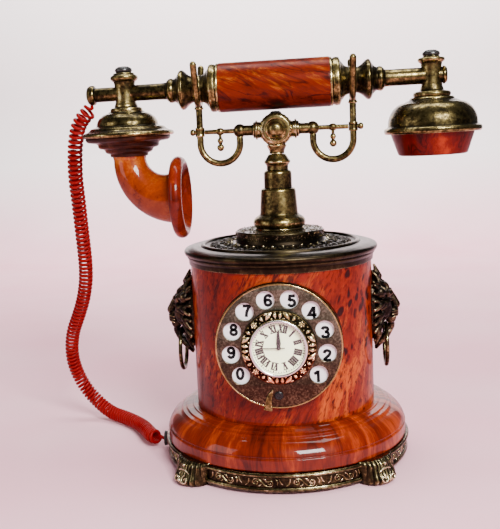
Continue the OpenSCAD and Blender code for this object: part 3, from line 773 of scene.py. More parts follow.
# ---------------------------------------------------------------- base
def base():
    """The relief band, the stepped wooden base on it and the wooden drum."""
    band = Shape()
    band.turned([
        (72, 2.4), (79, 2.4), (79.6, 3.6), (79, 4.8), (78.2, 5.0, 0.1), (78.2, 11.0, 0.1), (79, 11.4),
        (80.4, 12.2, 0.5), (80.4, 13, 0.5), (79.6, 13.8), (64, 13.8), (64, 11.8), (72, 11.8)],
        seat("base_ring", 2.4, 13.8), 192)
    count = 20
    for i in range(count):
        put = round_wall(78.25, 8.0, TAU * (i + 0.5) / count)
        for line, width in (
                (spiral(-3.6, 0.1, 0.45, 2.3, math.pi, -1.4, 22), 0.55),
                ([(-4.4, 2.4), (-1.6, 1.8), (0.6, -0.4), (2.6, -2.2), (5.4, -2.4)], 0.6),
                (spiral(5.0, -0.4, 0.45, 2.0, 0, -1.25, 22), 0.5),
                ([(-9.8, -2.0), (-8.2, -0.6), (-7.6, 2.2)], 0.55),
                ([(1.2, 2.3), (2.4, 1.6), (2.9, 0.4)], 0.45),
                ([(-1.9, -2.3), (-0.8, -1.7), (-0.2, -0.9)], 0.4),
                ([(8.4, 2.2), (9.4, 0.6), (9.2, -1.4)], 0.5),
                ([(10.6, 2.3), (11.2, 0.4), (12.4, -1.2)], 0.5)):
            leaf(band, put, line, width, 0.12, tone=-0.12)
    band.make("base_band", "root", "bronze_dark", ["base_ring"])

    lathe("base_wood", "root", "base", [
        (62, 13.8), (77.6, 13.8), (78.4, 14.6, 0.5), (78.4, 21.6, 0.7), (77.2, 22.2, 0.2), (77.2, 22.9, 0.2),
        *bow(64.6, 18.4, 14.0, 20.5, 69.5), (68.6, 32.8, 0.25), (66.4, 33.4), (65.6, 34.2), (62, 34.6, 0.2),
        (61.2, 35.2), (52, 35.2), (52, 28), (62, 28)], seat("wood_base", 13.8, 35.2), 192, ["wood_base"])
    lathe("drum_veneer", "root", "drum", [(54, 35.2), (58.3, 35.2, 0.2), (58.3, 128, 0.2), (54, 128)],
          seat("drum", 35.2, 128), 192, ["drum"])


def foot(node, angle):
    """An acanthus foot: a plain middle leaf with ribs on both sides and a volute under it."""
    shape = Shape()
    half, across, down = 15.5, 124, 46
    band, back, around, middle = 77.2, 75.5, 80, 4.6
    # front of the foot from the bead down to the desk: (how far out, height)
    side = smooth_path([(79.5, 14.7, 0), (82.2, 14.4, 0), (84.2, 12.8, 0), (85.4, 10.0, 0), (86.9, 7.0, 0),
                        (88.6, 4.6, 0), (89.2, 2.6, 0), (88.0, 1.0, 0)], 0.1)[:, :2]
    side = side[np.linspace(0, len(side) - 1, down).astype(int)]

    def front(u, k):
        """How far out the foot's face is at u along the band and row k down it, its height and its rib."""
        share = k / (down - 1)
        w = max(0.0, 1 - (abs(u) / (half * (1 - 0.22 * share))) ** 2.4) ** 0.5
        r = band + (side[k][0] - band) * w
        if abs(u) > middle:
            rib = abs(math.sin(math.pi * (abs(u) - middle - 2.2 * (share - 0.2)) / 2.9)) ** 0.8 * 1.15 - 0.75
        else:
            rib = 0.55 * math.cos(u / middle * math.pi / 2) + 0.18 * math.cos(u * 3.2)
        return r + rib * w * min(1.0, 0.25 + 2.2 * share), side[k][1], rib * w

    rows, tones = [], []
    for i in range(across + 1):
        u = -half + 2 * half * i / across
        a = angle + u / around
        face = [front(u, k) for k in range(down)] + [(back, 0.9, None), (back, 14.0, None)]
        rows.append([(r * math.cos(a), r * math.sin(a), z) for r, z, _ in face])
        tones.append([-0.5 if rib is None else 0.45 * rib for _, _, rib in face])
    first, last = ([tuple(np.mean(row, 0))] * len(row) for row in (rows[0], rows[-1]))
    shape.rings([first] + rows + [last], True, False, [tones[0]] + tones + [tones[-1]])

    def put(u, v, h):
        r = front(u, int(np.argmin(np.abs(side[:, 1] - v))))[0] + h
        a = angle + u / around
        out = np.array([math.cos(a), math.sin(a), 0.25])
        return np.array([r * math.cos(a), r * math.sin(a), v]), out / np.linalg.norm(out)

    for s in (-1, 1):
        leaf(shape, put, spiral(s * 3.5, 4.6, 0.4, 2.7, math.pi * (0.5 + s * 0.5), -s * 1.2, 22), 0.62, 0.15)
    leaf(shape, put, [(-4.5, 8.2), (-2.2, 9.4), (0, 9.8), (2.2, 9.4), (4.5, 8.2)], 0.6, 0.1)
    for v in (12.2, 4.0):
        shape.blob(put(0, v, 0.1)[0], (0.9, 0.9, 1.0), tone=0.5, n=10)
    shape.make(node + "_leaf", "root", "bronze_dark", [node])


base()
for end, degrees in (("front_left", 225), ("front_right", 315), ("back_left", 135), ("back_right", 45)):
    foot("foot_" + end, math.radians(degrees))


# ---------------------------------------------------------------- lid and column
def lid():
    """The cast lid, with leaves and scrolls in its sunken ring, and the column on it."""
    lathe("lid_cast", "root", "lid", [
        (8.6, 144.4), (26, 143), (27, 137.8), (52.5, 135.6), (52.5, 124), (53.9, 124), (53.9, 128, 0.1),
        (59.4, 128, 0.2), (59.6, 131, 0.2), (60.6, 132.6), *bow(60.2, 135.9, 2.1, -80, 75, 8), (57, 139, 1.2),
        (52, 139.3), (51.3, 138.9, 0.2), *bow(49.8, 139.4, 1.35, -10, 190, 8), (47.9, 138.8, 0.2),
        (46.4, 138.6, 0.2), (30.2, 140.4, 0.2), (28.9, 140.6, 0.2), (28.4, 142.6, 0.5), (28.2, 147.2, 0.5),
        (27.6, 147.9, 0.4), (8.6, 147.9)], seat("lid", 124, 147.9), 192, ["lid"])
    carved = Shape()
    count, fall = 16, 0.111
    for i in range(count):
        put = round_slope(38.3, 139.55, fall, TAU * (i + 0.25) / count)
        for side in (-1, 1):
            scroll = spiral(side * 3.6, 3.6, 0.5, 3.2, math.pi * (0.5 + side * 0.5), -side * 1.2, 18)
            leaf(carved, put, scroll + [(side * 1.0, -1.5), (side * 0.4, -5.5)], 0.85, 0.35, 0.9, tone=-0.3)
            for line, width in (
                    ([(7.2, 7.0), (6.2, 3.6), (7.3, 0.4)], 0.9),
                    ([(0.9, 7.2), (2.6, 6.9), (4.6, 7.3)], 0.7),
                    ([(2.1, -2.6), (3.7, -4.0), (4.0, -6.6)], 0.9),
                    ([(6.0, -1.2), (5.0, -2.6), (6.3, -4.6)], 0.75)):
                leaf(carved, put, [(side * u, v) for u, v in line], width, 0.3, 0.9, tone=-0.3)
        leaf(carved, put, [(0, 6.2), (0, 3.2), (0, 0.6)], 1.0, 0.35, 0.9, tone=-0.3)
        for u, v, wide, high in ((7.4, -6.4, 0.8, 0.7), (0, -7.2, 0.9, 0.8)):
            carved.blob(put(u, v, 0.2)[0], (wide, wide, high), tone=0.4, n=8)
    for _ in range(420):
        a, r = random.uniform(0, TAU), random.uniform(31.5, 46)
        place = (r * math.cos(a), r * math.sin(a), 140.35 - fall * (r - 30.2))
        carved.blob(place, [random.uniform(0.3, 0.55)] * 3, tone=-0.35, n=6)
    for _ in range(900):
        a, top = random.uniform(0, TAU), random.random() < 0.62
        r, z = (random.uniform(17, 27.4), 147.85) if top else (28.3, random.uniform(142.8, 147))
        size = [random.uniform(0.25, 0.6)] * 3
        carved.blob((r * math.cos(a), r * math.sin(a), z), size, tone=random.uniform(-0.5, 0.2), n=6)
    carved.make("lid_carving", "root", "lid")
    lathe("column_turned", "root", "bronze", [
        (3.5, 140), (8.5, 140), (8.5, 147.9), (15.7, 147.9, 0.2), (16.0, 148.9, 0.2),
        *bow(12.6, 152.4, 4.2, -50, 72, 10), (13.4, 156.9, 0.2), (12.7, 157.3, 0.25), (12.2, 158.2, 0.4),
        (11.2, 173, 0.4), (10.6, 174), (9, 174.3, 0.25), (8.85, 184.2, 0.4), (8.2, 185.2), (6.9, 185.9),
        (6.9, 188.4), (7.4, 189.4), (8.35, 190.5, 0.35), (8.35, 191.4, 0.35), (7.6, 192.4), (5.4, 195.8),
        (3.5, 195.8)], seat("column", 140, 195.8), 96, ["column"])


lid()


# ---------------------------------------------------------------- dial and clock
DIAL = (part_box("number_plate")[0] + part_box("number_plate")[1]) / 2 / MM
DIAL_AT = Matrix.Translation((0, 0, DIAL.z)) @ Matrix.Rotation(math.radians(90), 4, "X")
WHEEL_FRONT = -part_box("finger_wheel")[0].y / MM - 0.6
DRUM_FRONT = 40.0
HOLES = [216.9 - 28.2 * i for i in range(10)]


def cut_plate(shape, outlines, low, high, bevel, at):
    """A flat plate with rounded edges: the first outline is its edge and the others are holes."""
    data = bpy.data.curves.new("plate", "CURVE")
    data.dimensions, data.fill_mode = "2D", "BOTH"
    data.extrude, data.offset = (high - low) / 2 - bevel, -bevel
    data.bevel_depth, data.bevel_resolution = bevel, 2
    for outline in outlines:
        line = data.splines.new("POLY")
        line.points.add(len(outline) - 1)
        for point, (x, y) in zip(line.points, outline):
            point.co = (x, y, 0, 1)
        line.use_cyclic_u = True
    o = bpy.data.objects.new("plate", data)
    bpy.context.scene.collection.objects.link(o)
    bpy.context.view_layer.update()
    me = bpy.data.meshes.new_from_object(o.evaluated_get(bpy.context.evaluated_depsgraph_get()))
    co = np.array([v.co for v in me.vertices]).reshape(-1, 3) + (0, 0, (low + high) / 2)
    shape.add(co, [tuple(p.vertices) for p in me.polygons], 0, at)
    bpy.data.objects.remove(o)
    bpy.data.meshes.remove(me)
    bpy.data.curves.remove(data)


def circle(r, x=0.0, y=0.0, n=64):
    return [(x + r * math.cos(TAU * k / n), y + r * math.sin(TAU * k / n)) for k in range(n)]


def around(r, a):
    """The point at radius r and angle a in degrees."""
    return r * math.cos(math.radians(a)), r * math.sin(math.radians(a))


def dial():
    """The finger wheel with its rim and screw, the digits on the plate behind it, and the finger stop."""
    f = WHEEL_FRONT
    wheel = Shape()
    holes = [circle(5.35, *around(28.8, a), 48) for a in HOLES]
    cut_plate(wheel, [circle(37.0, n=160), circle(13.3, n=64)] + holes, f - 1.6, f, 0.22, DIAL_AT)
    wheel.make("finger_wheel_plate", "dial", "wheel", ["finger_wheel"], sharp=35)
    lathe("finger_wheel_rim", "dial", "gold", [
        (36.7, f - 1.5), (37.5, f - 1.5), (37.5, f + 0.2, 0.25), (36.75, f + 0.25, 0.2)], DIAL_AT, 160)
    lathe("finger_wheel_screw", "dial", "screw", [
        (0, f - 0.3), (2.7, f - 0.3), (2.65, f + 0.35), (1.9, f + 0.75), (1.25, f + 0.75, 0.1),
        (1.1, f + 0.2, 0.1), (0, f + 0.2)], DIAL_AT @ Matrix.Translation((-1.0, -29.7, 0)), 40, solid=True)
    digits = Shape()
    for i, a in enumerate(HOLES):
        x, y = around(28.6, a - 2.8)
        digit(digits, str((10 - i) % 10), 7.5, DIAL_AT @ Matrix.Translation((x, y - 0.6, 0)), f - 2.2)
    digits.make("dial_digits", "root", "ink", sharp=30, soft=0)
    stop = Shape()
    left = smooth_path([(-9.2, -36.6, 0), (-8.8, -32.4, 0), (-7.0, -28.4, 0), (-4.2, -25.4, 0)], 0.4)
    right = smooth_path([(-3.9, -25.4, 0), (-4.9, -29.4, 0), (-5.4, -33.4, 0), (-5.1, -37.4, 0)], 0.4)
    horn = [tuple(p[:2]) for p in np.vstack([left, right])] + [(-7.2, -38.6)]
    cut_plate(stop, [horn], f + 0.9, f + 1.9, 0.25, DIAL_AT)
    at, half = math.radians(258.6), 2.4 / 38
    corners = ((37.95, -half), (39.2, -half), (39.2, half), (37.95, half))
    post = [(r * math.cos(at + b), r * math.sin(at + b)) for r, b in corners]
    cut_plate(stop, [post], DRUM_FRONT, f + 1.8, 0.2, DIAL_AT)
    stop.make("finger_stop_horn", "root", "tube", ["finger_stop"], slot="bronze", sharp=35)


def wreath_place(turn):
    """Maps (along, outwards, up) onto the carved ring round the clock."""
    def put(u, v, h):
        r, slope = 19.6, 0.24
        a = turn + u / r
        c, d = math.cos(a), math.sin(a)
        point = DIAL_AT @ Vector(((r + v) * c, (r + v) * d, WHEEL_FRONT + 3.1 - slope * v + h))
        out = DIAL_AT.to_3x3() @ Vector((0.25 * c, 0.25 * d, 1)).normalized()
        return np.array(point), np.array(out)
    return put


def wreath():
    """A carved ring of leaves with a flower in each quarter."""
    f = WHEEL_FRONT
    ring = Shape()
    ring.turned([(16.9, f + 0.6), (22.2, f + 0.6), (22.6, f + 1.6, 0.4), (21.9, f + 2.6, 0.4),
                 (21.3, f + 2.5, 0.2), (20.6, f + 2.9), (17.9, f + 3.6), (17.3, f + 4.4, 0.2),
                 (16.9, f + 4.4, 0.1)], DIAL_AT, 144, tone=-0.5)
    for quarter in range(4):
        put = wreath_place(math.pi / 2 * quarter)
        for s in (-1, 1):
            for line, width, rise, flat, sides in (
                    ([(1.5, 1.7), (1.55, 0.2), (1.45, -1.5)], 1.15, 0.2, 0.9, 12),
                    ([(3.5, 1.6), (5.2, 0.5), (7.2, -1.2)], 1.45, 0.2, 0.8, 12),
                    ([(5.9, 1.9), (7.6, 1.5)], 0.55, 0.1, 0.8, 8),
                    ([(3.3, -1.8), (4.6, -1.6)], 0.45, 0.1, 0.8, 8),
                    ([(9.7, 1.3), (9.8, 0), (9.5, -1.0)], 1.0, 0.2, 0.9, 12)):
                leaf(ring, put, [(s * u, v) for u, v in line], width, rise, flat, sides)
        put = wreath_place(math.pi / 2 * quarter + math.pi / 4)
        for k in range(6):
            c, d = math.cos(TAU * k / 6), math.sin(TAU * k / 6)
            leaf(ring, put, [(0.8 * c, 0.8 * d), (2.0 * c, 1.9 * d)], 0.62, 0.3, 1.0, 10)
        ring.blob(put(0, 0, 0.5)[0], (0.75, 0.75, 0.75), tone=0.4, n=12)
        for s in (-1, 1):
            leaf(ring, put, [(s * 3.5, 1.7), (s * 3.1, 1.3)], 0.5, 0.15, 0.9, 8)
            leaf(ring, put, [(s * 3.7, -1.5), (s * 3.2, -1.2)], 0.45, 0.15, 0.9, 8)
    ring.make("clock_wreath", "root", "wreath", ["clock_ring"])


def clock_print(top):
    """Sixty marks, a line round them and twelve numerals, all turned a little as in the quartz insert."""
    printed = Shape()
    lean = math.radians(14)

    def out(share, r):
        """A place on the face at radius r, that share of the way round."""
        return DIAL_AT @ Matrix.Rotation(-(lean + TAU * share), 4, "Z") @ Matrix.Translation((0, r, 0))

    for k in range(60):
        wide, long = (0.6, 1.1) if k % 5 == 0 else (0.34, 0.75)
        mark = [(x * wide / 2, y * long / 2) for x, y in ((-1, -1), (1, -1), (1, 1), (-1, 1))]
        printed.plate(mark, top, top + INK, out(k / 60, 15.2 - long / 2))
    printed.turned([(r, top + h) for r, h in ((15.25, 0), (15.45, 0), (15.45, INK), (15.25, INK))],
                   DIAL_AT, 96, radius=0.0)
    for k, text in enumerate("XII I II III IIII V VI VII VIII IX X XI".split()):
        roman(printed, text, 4.3, out(k / 12, 11.5), top)
    printed.make("clock_print", "root", "print", sharp=30, soft=0)


def clock():
    """The bezel, the print on the face and the three hands."""
    f, face = WHEEL_FRONT, WHEEL_FRONT + 2.4
    lathe("clock_bezel_ring", "root", "silver", [
        (16.3, f + 1.6), (17.0, f + 1.6), (17.2, face + 2.2, 0.2), (16.9, face + 3.2, 0.4),
        (16.2, face + 3.4), (15.6, face + 3.1, 0.2), (15.6, face + 2.95),
        (16.3, face + 2.6)], DIAL_AT, 128, ["clock_bezel"])
    clock_print(face - 0.2)
    for name, level, long, wide in (("hour", face, 8.2, 2.8), ("minute", face + 0.5, 11.6, 2.2)):
        hand = Shape()
        left = [(-wide * 0.35, 0.6), (-wide / 2, long * 0.3), (-wide * 0.3, long * 0.8)]
        blade = left + [(0, long)] + [(-x, y) for x, y in left[::-1]]
        for outlines in ([blade], [circle(1.25, n=32), circle(0.46, n=24)]):
            cut_plate(hand, outlines, level, level + 0.3, 0.08, DIAL_AT)
        hand.make(name + "_hand_blade", name, "hands", [name + "_hand"], sharp=35)
    hand = Shape()
    level = face + 1
    for outlines, bevel in (
            ([[(-10.4, -0.24), (-0.9, -0.34), (-0.9, 0.34), (-10.4, 0.24)]], 0.05),
            ([[(0.9, -0.22), (3.6, -0.32), (3.6, 0.32), (0.9, 0.22)]], 0.05),
            ([circle(1.1, n=32), circle(0.46, n=24)], 0.06)):
        cut_plate(hand, outlines, level, level + 0.25, bevel, DIAL_AT)
    hand.make("second_hand_blade", "second", "hands", ["second_hand"], slot="hand_steel", sharp=35)


def as_it_is(node, paint):
    """A CAD node that shows as it is, with a material."""
    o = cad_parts[node]
    o.data.materials.clear()
    o.data.materials.append(MAT[paint])


dial()
wreath()
clock()
for paint, nodes in (
        ("white", "number_plate"), ("bronze_dark", "dial_housing"), ("bronze", "dial_sleeve"),
        ("paper", "clock_face"),
        ("glass", "clock_glass"), ("felt", "foot_pads"), ("plate", "base_plate"), ("steel", "base_screws"),
        ("board", "circuit_board"), ("ivory", "line_jack"), ("rubber", "cord_grommet"),
        ("black", "clock_movement hook_switch ringer transmitter receiver")):
    for node in nodes.split():
        as_it_is(node, paint)
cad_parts["clock_glass"].visible_shadow = False


# ---------------------------------------------------------------- lion heads and ring pulls
def remeshed(shape, voxel, rounds):
    """The shape's lumps melted into one skin."""
    me = shape.mesh("melt")
    o = bpy.data.objects.new("melt", me)
    bpy.context.scene.collection.objects.link(o)
    melt = o.modifiers.new("melt", "REMESH")
    melt.mode, melt.voxel_size = "VOXEL", voxel * MM
    ease = o.modifiers.new("ease", "SMOOTH")
    ease.factor, ease.iterations = 0.5, rounds
    bpy.context.view_layer.update()
    made = bpy.data.meshes.new_from_object(o.evaluated_get(bpy.context.evaluated_depsgraph_get()))
    bpy.data.objects.remove(o)
    bpy.data.meshes.remove(me)
    return made


def lion(side, node):
    """A lion's head: x comes out of the drum, y goes across and z is up from the head's middle."""
    middle = 97.0
    head = Shape()

    def bar(points, radii, sides, s=1):
        if len(radii) < len(points):
            radii = np.linspace(*radii, len(points))
        head.tube([(x, s * y, middle + z) for x, y, z in points], radii, sides)

    def lump(place, size, n=16, s=1):
        head.blob((place[0], s * place[1], middle + place[2]), size, n=n)

    lump((57.8, 0, -1), (7.0, 12.5, 20.5), 24)
    lump((60.5, 0, 1), (7.5, 9.5, 12.5), 24)
    for k in range(26):
        y1, z1 = math.sin(TAU * (k + 0.5) / 26), math.cos(TAU * (k + 0.5) / 26)
        reach, bend = 1.0 + 0.08 * math.sin(k * 2.4), 1.6 if k % 2 else -1.6
        lock = [(65.0 - abs(z1), 7.5 * y1, 1 + 9.5 * z1),
                (64.0 - abs(z1), 11.3 * y1 + bend * z1, 15.0 * z1 - bend * y1),
                (61.0, 14.0 * reach * y1, -0.5 + 19.5 * reach * z1),
                (59.2, 15.2 * reach * y1 - 0.5 * bend * z1, -1 + 21.8 * reach * z1)]
        bar(smooth_path(lock, 0.5), (2.3, 1.1), 10)
    for k in range(18):
        y1, z1, bend = math.sin(TAU * k / 18), math.cos(TAU * k / 18), 1.3 if k % 2 else -1.3
        if z1 > -0.8:
            lock = [(68.0, 6.0 * y1, 2 + 7.5 * z1), (67.6, 9.0 * y1 + bend * z1, 1.5 + 11 * z1 - bend * y1),
                    (63.8, 11.6 * y1, 1 + 15 * z1)]
            bar(smooth_path(lock, 0.5), (1.9, 0.9), 10)
    bar([(62.0, 0, 15), (63.2, 0, 18.5), (61.2, 0, 22.5), (60.0, 0, 25.5)], [2.6, 2.0, 1.5, 0.9], 12)
    for s in (-1, 1):
        bar([(61.0, 1.6, 16), (62.2, 4.0, 20), (60.2, 3.2, 23)], [1.9, 1.4, 0.8], 10, s)
    lump((63.6, 0, 5), (6.4, 8.2, 8.6), 24)
    lump((64.5, 0, -2.5), (6.4, 7.4, 8), 24)
    for s in (-1, 1):
        # brow, eye, eyelid, cheek, muzzle and jaw, whiskers, ear, lip
        bar([(68.9, 1.7, 6.6), (70.2, 3.8, 8.0), (67.9, 6.8, 6.4)], [1.6, 1.9, 1.2], 12, s)
        lump((69.4, 3.9, 5.0), (1.3, 1.6, 1.2), 16, s)
        bar([(69.0, 6.0, 3.4), (70.6, 3.6, 2.8), (71.0, 2.3, 3.2)], [0.6, 0.8, 0.6], 8, s)
        lump((65.8, 6.6, -1.5), (4.8, 4.0, 6.4), 20, s)
        lump((71.2, 2.8, -5.0), (4.0, 3.5, 3.9), 20, s)
        lump((70.0, 2.5, -8.8), (3.7, 3.2, 3.9), 20, s)
        for j in range(3):
            whisker = [(74.9, 1.9, -3.4 - 1.5 * j), (73.9, 4.9, -3.9 - 1.6 * j), (70.6, 6.9, -4.3 - 1.9 * j)]
            bar(whisker, [0.6, 0.65, 0.35], 8, s)
        lump((62.8, 10.6, 9.0), (3.4, 2.8, 3.6), 16, s)
        lump((65.4, 10.6, 9.0), (1.2, 1.2, 1.8), 16, s)
        bar([(63.5, 4.6, -13.5), (67.0, 3.4, -15.4), (70.0, 1.4, -15.8)], [1.7, 1.3, 1.2], 10, s)
    # nose, its tip, chin, and the beard in five locks
    bar([(69.0, 0, 8.6), (71.6, 0, 4.2), (73.8, 0, -0.6)], [2.2, 2.4, 2.8], 14)
    lump((74.3, 0, -1.3), (1.8, 2.9, 1.7))
    lump((70.5, 0, -13.6), (2.4, 3.6, 4.4))
    for s in (-1, 0, 1):
        bar([(69.6, 1.6, -17.0), (67.0, 3.0, -20.6), (62.6, 3.6, -25.0), (60.4, 1.8, -29.0)],
            [1.9, 2.2, 1.9, 1.0], 10, s)
        bar([(62.2, 6.0, -13.0), (61.6, 7.0, -19.0), (59.9, 5.0, -25.0)], [2.3, 2.2, 1.1], 10, s)
    me = remeshed(head, 0.4, 1)
    if side < 0:
        me.transform(Matrix.Scale(-1, 4, (1, 0, 0)))
        me.flip_normals()
    wear(me, 2)
    placed(node + "_head", me, "root", "lion", [node], sharp=80)


def ring_pull(node, body):
    """A plain ring, a little thinner at the top, where the lion's mouth holds it."""
    lo, hi = (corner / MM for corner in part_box(node))
    middle, wire = np.array((lo + hi) / 2), (hi.x - lo.x) / 2
    r = (hi.z - lo.z) / 2 - wire
    a = np.arange(96) / 96 * TAU
    line = middle + np.stack([0 * a, r * np.sin(a), r * np.cos(a)], 1)
    ring = Shape().tube(line, wire * (1.1 - 0.05 * np.cos(a)), 16, closed=True)
    ring.make(node + "_wire", body, "bronze_dark", [node], slot="bronze")


lion(-1, "lion_left")
lion(1, "lion_right")
ring_pull("ring_left", "pull_left")
ring_pull("ring_right", "pull_right")


# ---------------------------------------------------------------- cradle
ARM_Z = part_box("loop_left")[1].z / MM - 14.95
FORK_X = (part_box("fork_right")[0].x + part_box("fork_right")[1].x) / 2 / MM
ALONG_X = {s: Matrix.Translation((0, 0, ARM_Z)) @ axis_frame((s, 0, 0)) for s in (-1, 1)}


def hub():
    """The round boss that both arms screw into, milled on its rim and capped in front and behind."""
    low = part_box("hub")[0].z / MM
    metal = Shape()
    metal.turned([(0, low), (3.45, low), (3.45, 196.1), (4.9, 196.1, 0.2), (4.7, 197.0), (5.0, 198.4),
                  (6.2, 200.8, 0.4), (6.3, 201.6), (5.7, 202.0, 0.2), (6.1, 203.2), (5.2, 205.2, 0.4),
                  (0, 205.2)], None, 80, closed=False)
    metal.blob((0, 0, ARM_Z), (10.0, 10.0, 10.0), n=56)
    facing = {s: Matrix.Translation((0, 0, ARM_Z)) @ axis_frame((0, s, 0)) for s in (-1, 1)}
    metal.turned([(4, -6.2), (8.8, -6.0, 0.5), (10.0, -5.2, 0.4), (10.6, -4.0, 0.5), (10.6, 4.0, 0.5),
                  (10.0, 5.2, 0.4), (8.8, 6.0, 0.5), (4, 6.2)],
                 facing[1], 144, lobes=lambda a: 1 + 0.014 * np.cos(26 * a))
    for s in (-1, 1):
        metal.turned([(5.4, 6.0), (8.9, 5.9), (9.3, 6.5), (8.8, 7.1), (7.0, 7.3), (6.0, 6.9), (5.4, 6.7)],
                     facing[s], 96)
        metal.turned([(5.9, 6.6, 0.2), (5.6, 8.2, 0.5), (4.8, 10.2, 0.9), (3.0, 11.9, 0.9), (1.0, 12.3, 0.2),
                      (0, 12.3)], facing[s], 64, closed=False)
    for s in (-1, 1):
        metal.turned([(0, 8.6), (5.6, 8.6), (5.6, 9.6), (4.9, 10.0, 0.2), (5.2, 10.6), (5.2, 11.8),
                      (0, 11.8)], ALONG_X[s], 64, closed=False)
    metal.make("hub_turned", "cradle", "bronze", ["hub"])
    lathe("hub_button", "cradle", "black", [
        (0, 9.2), (3.6, 9.2), (3.9, 10.0), (3.3, 11.0), (2.2, 11.6, 0.4), (0, 11.6)],
        Matrix.Translation((0, 0, ARM_Z)), 48, solid=True)


def arm(s, name):
    """One arm: a stepped boss and a ball by the hub, a thin rod with a bead, and a drop hanging from it."""
    metal = Shape()
    rod = FORK_X - 2.9
    at = ALONG_X[s]
    metal.turned([(0, 11.8), (6.1, 11.8), (6.1, 12.9), (5.0, 13.1, 0.2), (5.0, 14.4, 0.4), (3.7, 14.7),
                  (3.4, 15.6), (3.4, 21.0), (0, 21.0)], at, 64, closed=False)
    metal.blob((s * 23.1, 0, ARM_Z), (4.3, 4.35, 4.35), n=32)
    metal.turned([(0, 26), (1.5, 26), (1.45, rod), (0, rod)], at, 32, closed=False)
    metal.turned([(0, 33.4), (1.5, 33.4), (2.0, 34.3), (2.35, 35.2, 0.5), (2.35, 36.4, 0.5), (2.0, 37.4),
                  (1.5, 38.2), (0, 38.2)], at, 32, closed=False)
    metal.turned([(0, -1), (0.95, -1), (0.95, -4.0, 0.2), (1.5, -4.6, 0.2), (1.9, -5.6, 0.4),
                  (1.9, -6.2, 0.4), (1.4, -7.2, 0.2), (0.95, -7.8, 0.2), (1.2, -8.1, 0.2), (2.1, -9.0, 0.5),
                  (2.4, -10.2, 0.7), (1.9, -11.6, 0.6), (0.8, -12.4),
                  (0, -12.4)], Matrix.Translation((s * 35.9, 0, ARM_Z)), 32, closed=False)
    metal.make(name + "_turned", "cradle", "cradle", [name])


def loop(s, name):
    """The U-shaped bar under an arm, which goes up through the rod's end to carry the fork."""
    metal = Shape()
    r, drop = 12.7, 7.5
    x0, x1 = FORK_X - r, FORK_X + 1
    curve = [(s * (x0 + r * math.cos(t)), 0, ARM_Z - drop + r * math.sin(t))
             for t in np.radians(np.arange(180, 361, 5))]
    inner = [(s * (x0 - r), 0, ARM_Z + z) for z in (-4.0, -5.8)]
    outer = [(s * (x0 + r), 0, ARM_Z + z) for z in (-5.0, -2.0, 2.0, 6.0, 10.0, 13.5, 14.6)]
    metal.tube(inner + curve + outer, 2.15, 24)
    metal.turned([(2.0, -3.0), (2.9, -2.8), (3.0, -2.0), (2.75, -1.2, 0.2), (2.75, 1.2, 0.2), (3.0, 2.0),
                  (2.9, 2.8), (2.0, 3.0)], Matrix.Translation((s * FORK_X, 0, ARM_Z)), 40)
    metal.turned([(0, x1), (1.5, x1), (1.5, x1 + 2.4, 0.2), (2.1, x1 + 3.1, 0.4), (2.1, x1 + 4.3, 0.5),
                  (1.3, x1 + 5.3, 0.4), (0, x1 + 5.5)], ALONG_X[s], 32, closed=False)
    metal.make(name + "_bar", "cradle", "cradle", [name])


def fork(s, name):
    """Two prongs that curve up and outwards from a collar."""
    metal = Shape()
    bend, top, prong = 11.0, math.radians(65), 19.6
    z0 = ARM_Z + 17 + bend
    half = [(bend * math.sin(t), z0 - bend * math.cos(t)) for t in np.linspace(0, top, 12)]
    (y0, z1), way = half[-1], (math.cos(top), math.sin(top))
    half += [(y0 + way[0] * d, z1 + way[1] * d) for d in np.linspace(1.5, prong, 10)]
    line = [(s * FORK_X, -y, z) for y, z in half[:0:-1]] + [(s * FORK_X, y, z) for y, z in half]
    metal.tube(line, 2.0 + 0.12 * np.abs(np.linspace(-1, 1, len(line))), 24)
    y, z = half[-1]
    for side in (-1, 1):
        metal.blob((s * FORK_X, side * (y - 0.2 * way[0]), z - 0.2), (2.15, 2.15, 2.15), n=24)
    metal.turned([(0, 14.2), (2.9, 14.4), (3.0, 15.3), (2.4, 15.9, 0.2), (2.4, 17.0), (0, 17.0)],
                 Matrix.Translation((s * FORK_X, 0, ARM_Z)), 40, closed=False)
    metal.make(name + "_prongs", "cradle", "cradle", [name])


hub()
for s, side in ((-1, "left"), (1, "right")):
    arm(s, "arm_" + side)
    loop(s, "loop_" + side)
    fork(s, "fork_" + side)


# ---------------------------------------------------------------- handset
def across(node, low, high, s):
    return seat(node, low, high, (s, 0, 0), HANDSET_TILT)


def upright(node, low, high):
    return seat(node, low, high, (0, 0, 1), HANDSET_TILT)


def part(node, paint, outline, at, sides, solid=False, ending="turned", soft=2):
    """A turned piece of the handset."""
    lathe("%s_%s" % (node, ending), "handset", paint, outline, at, sides, [node], solid, soft)


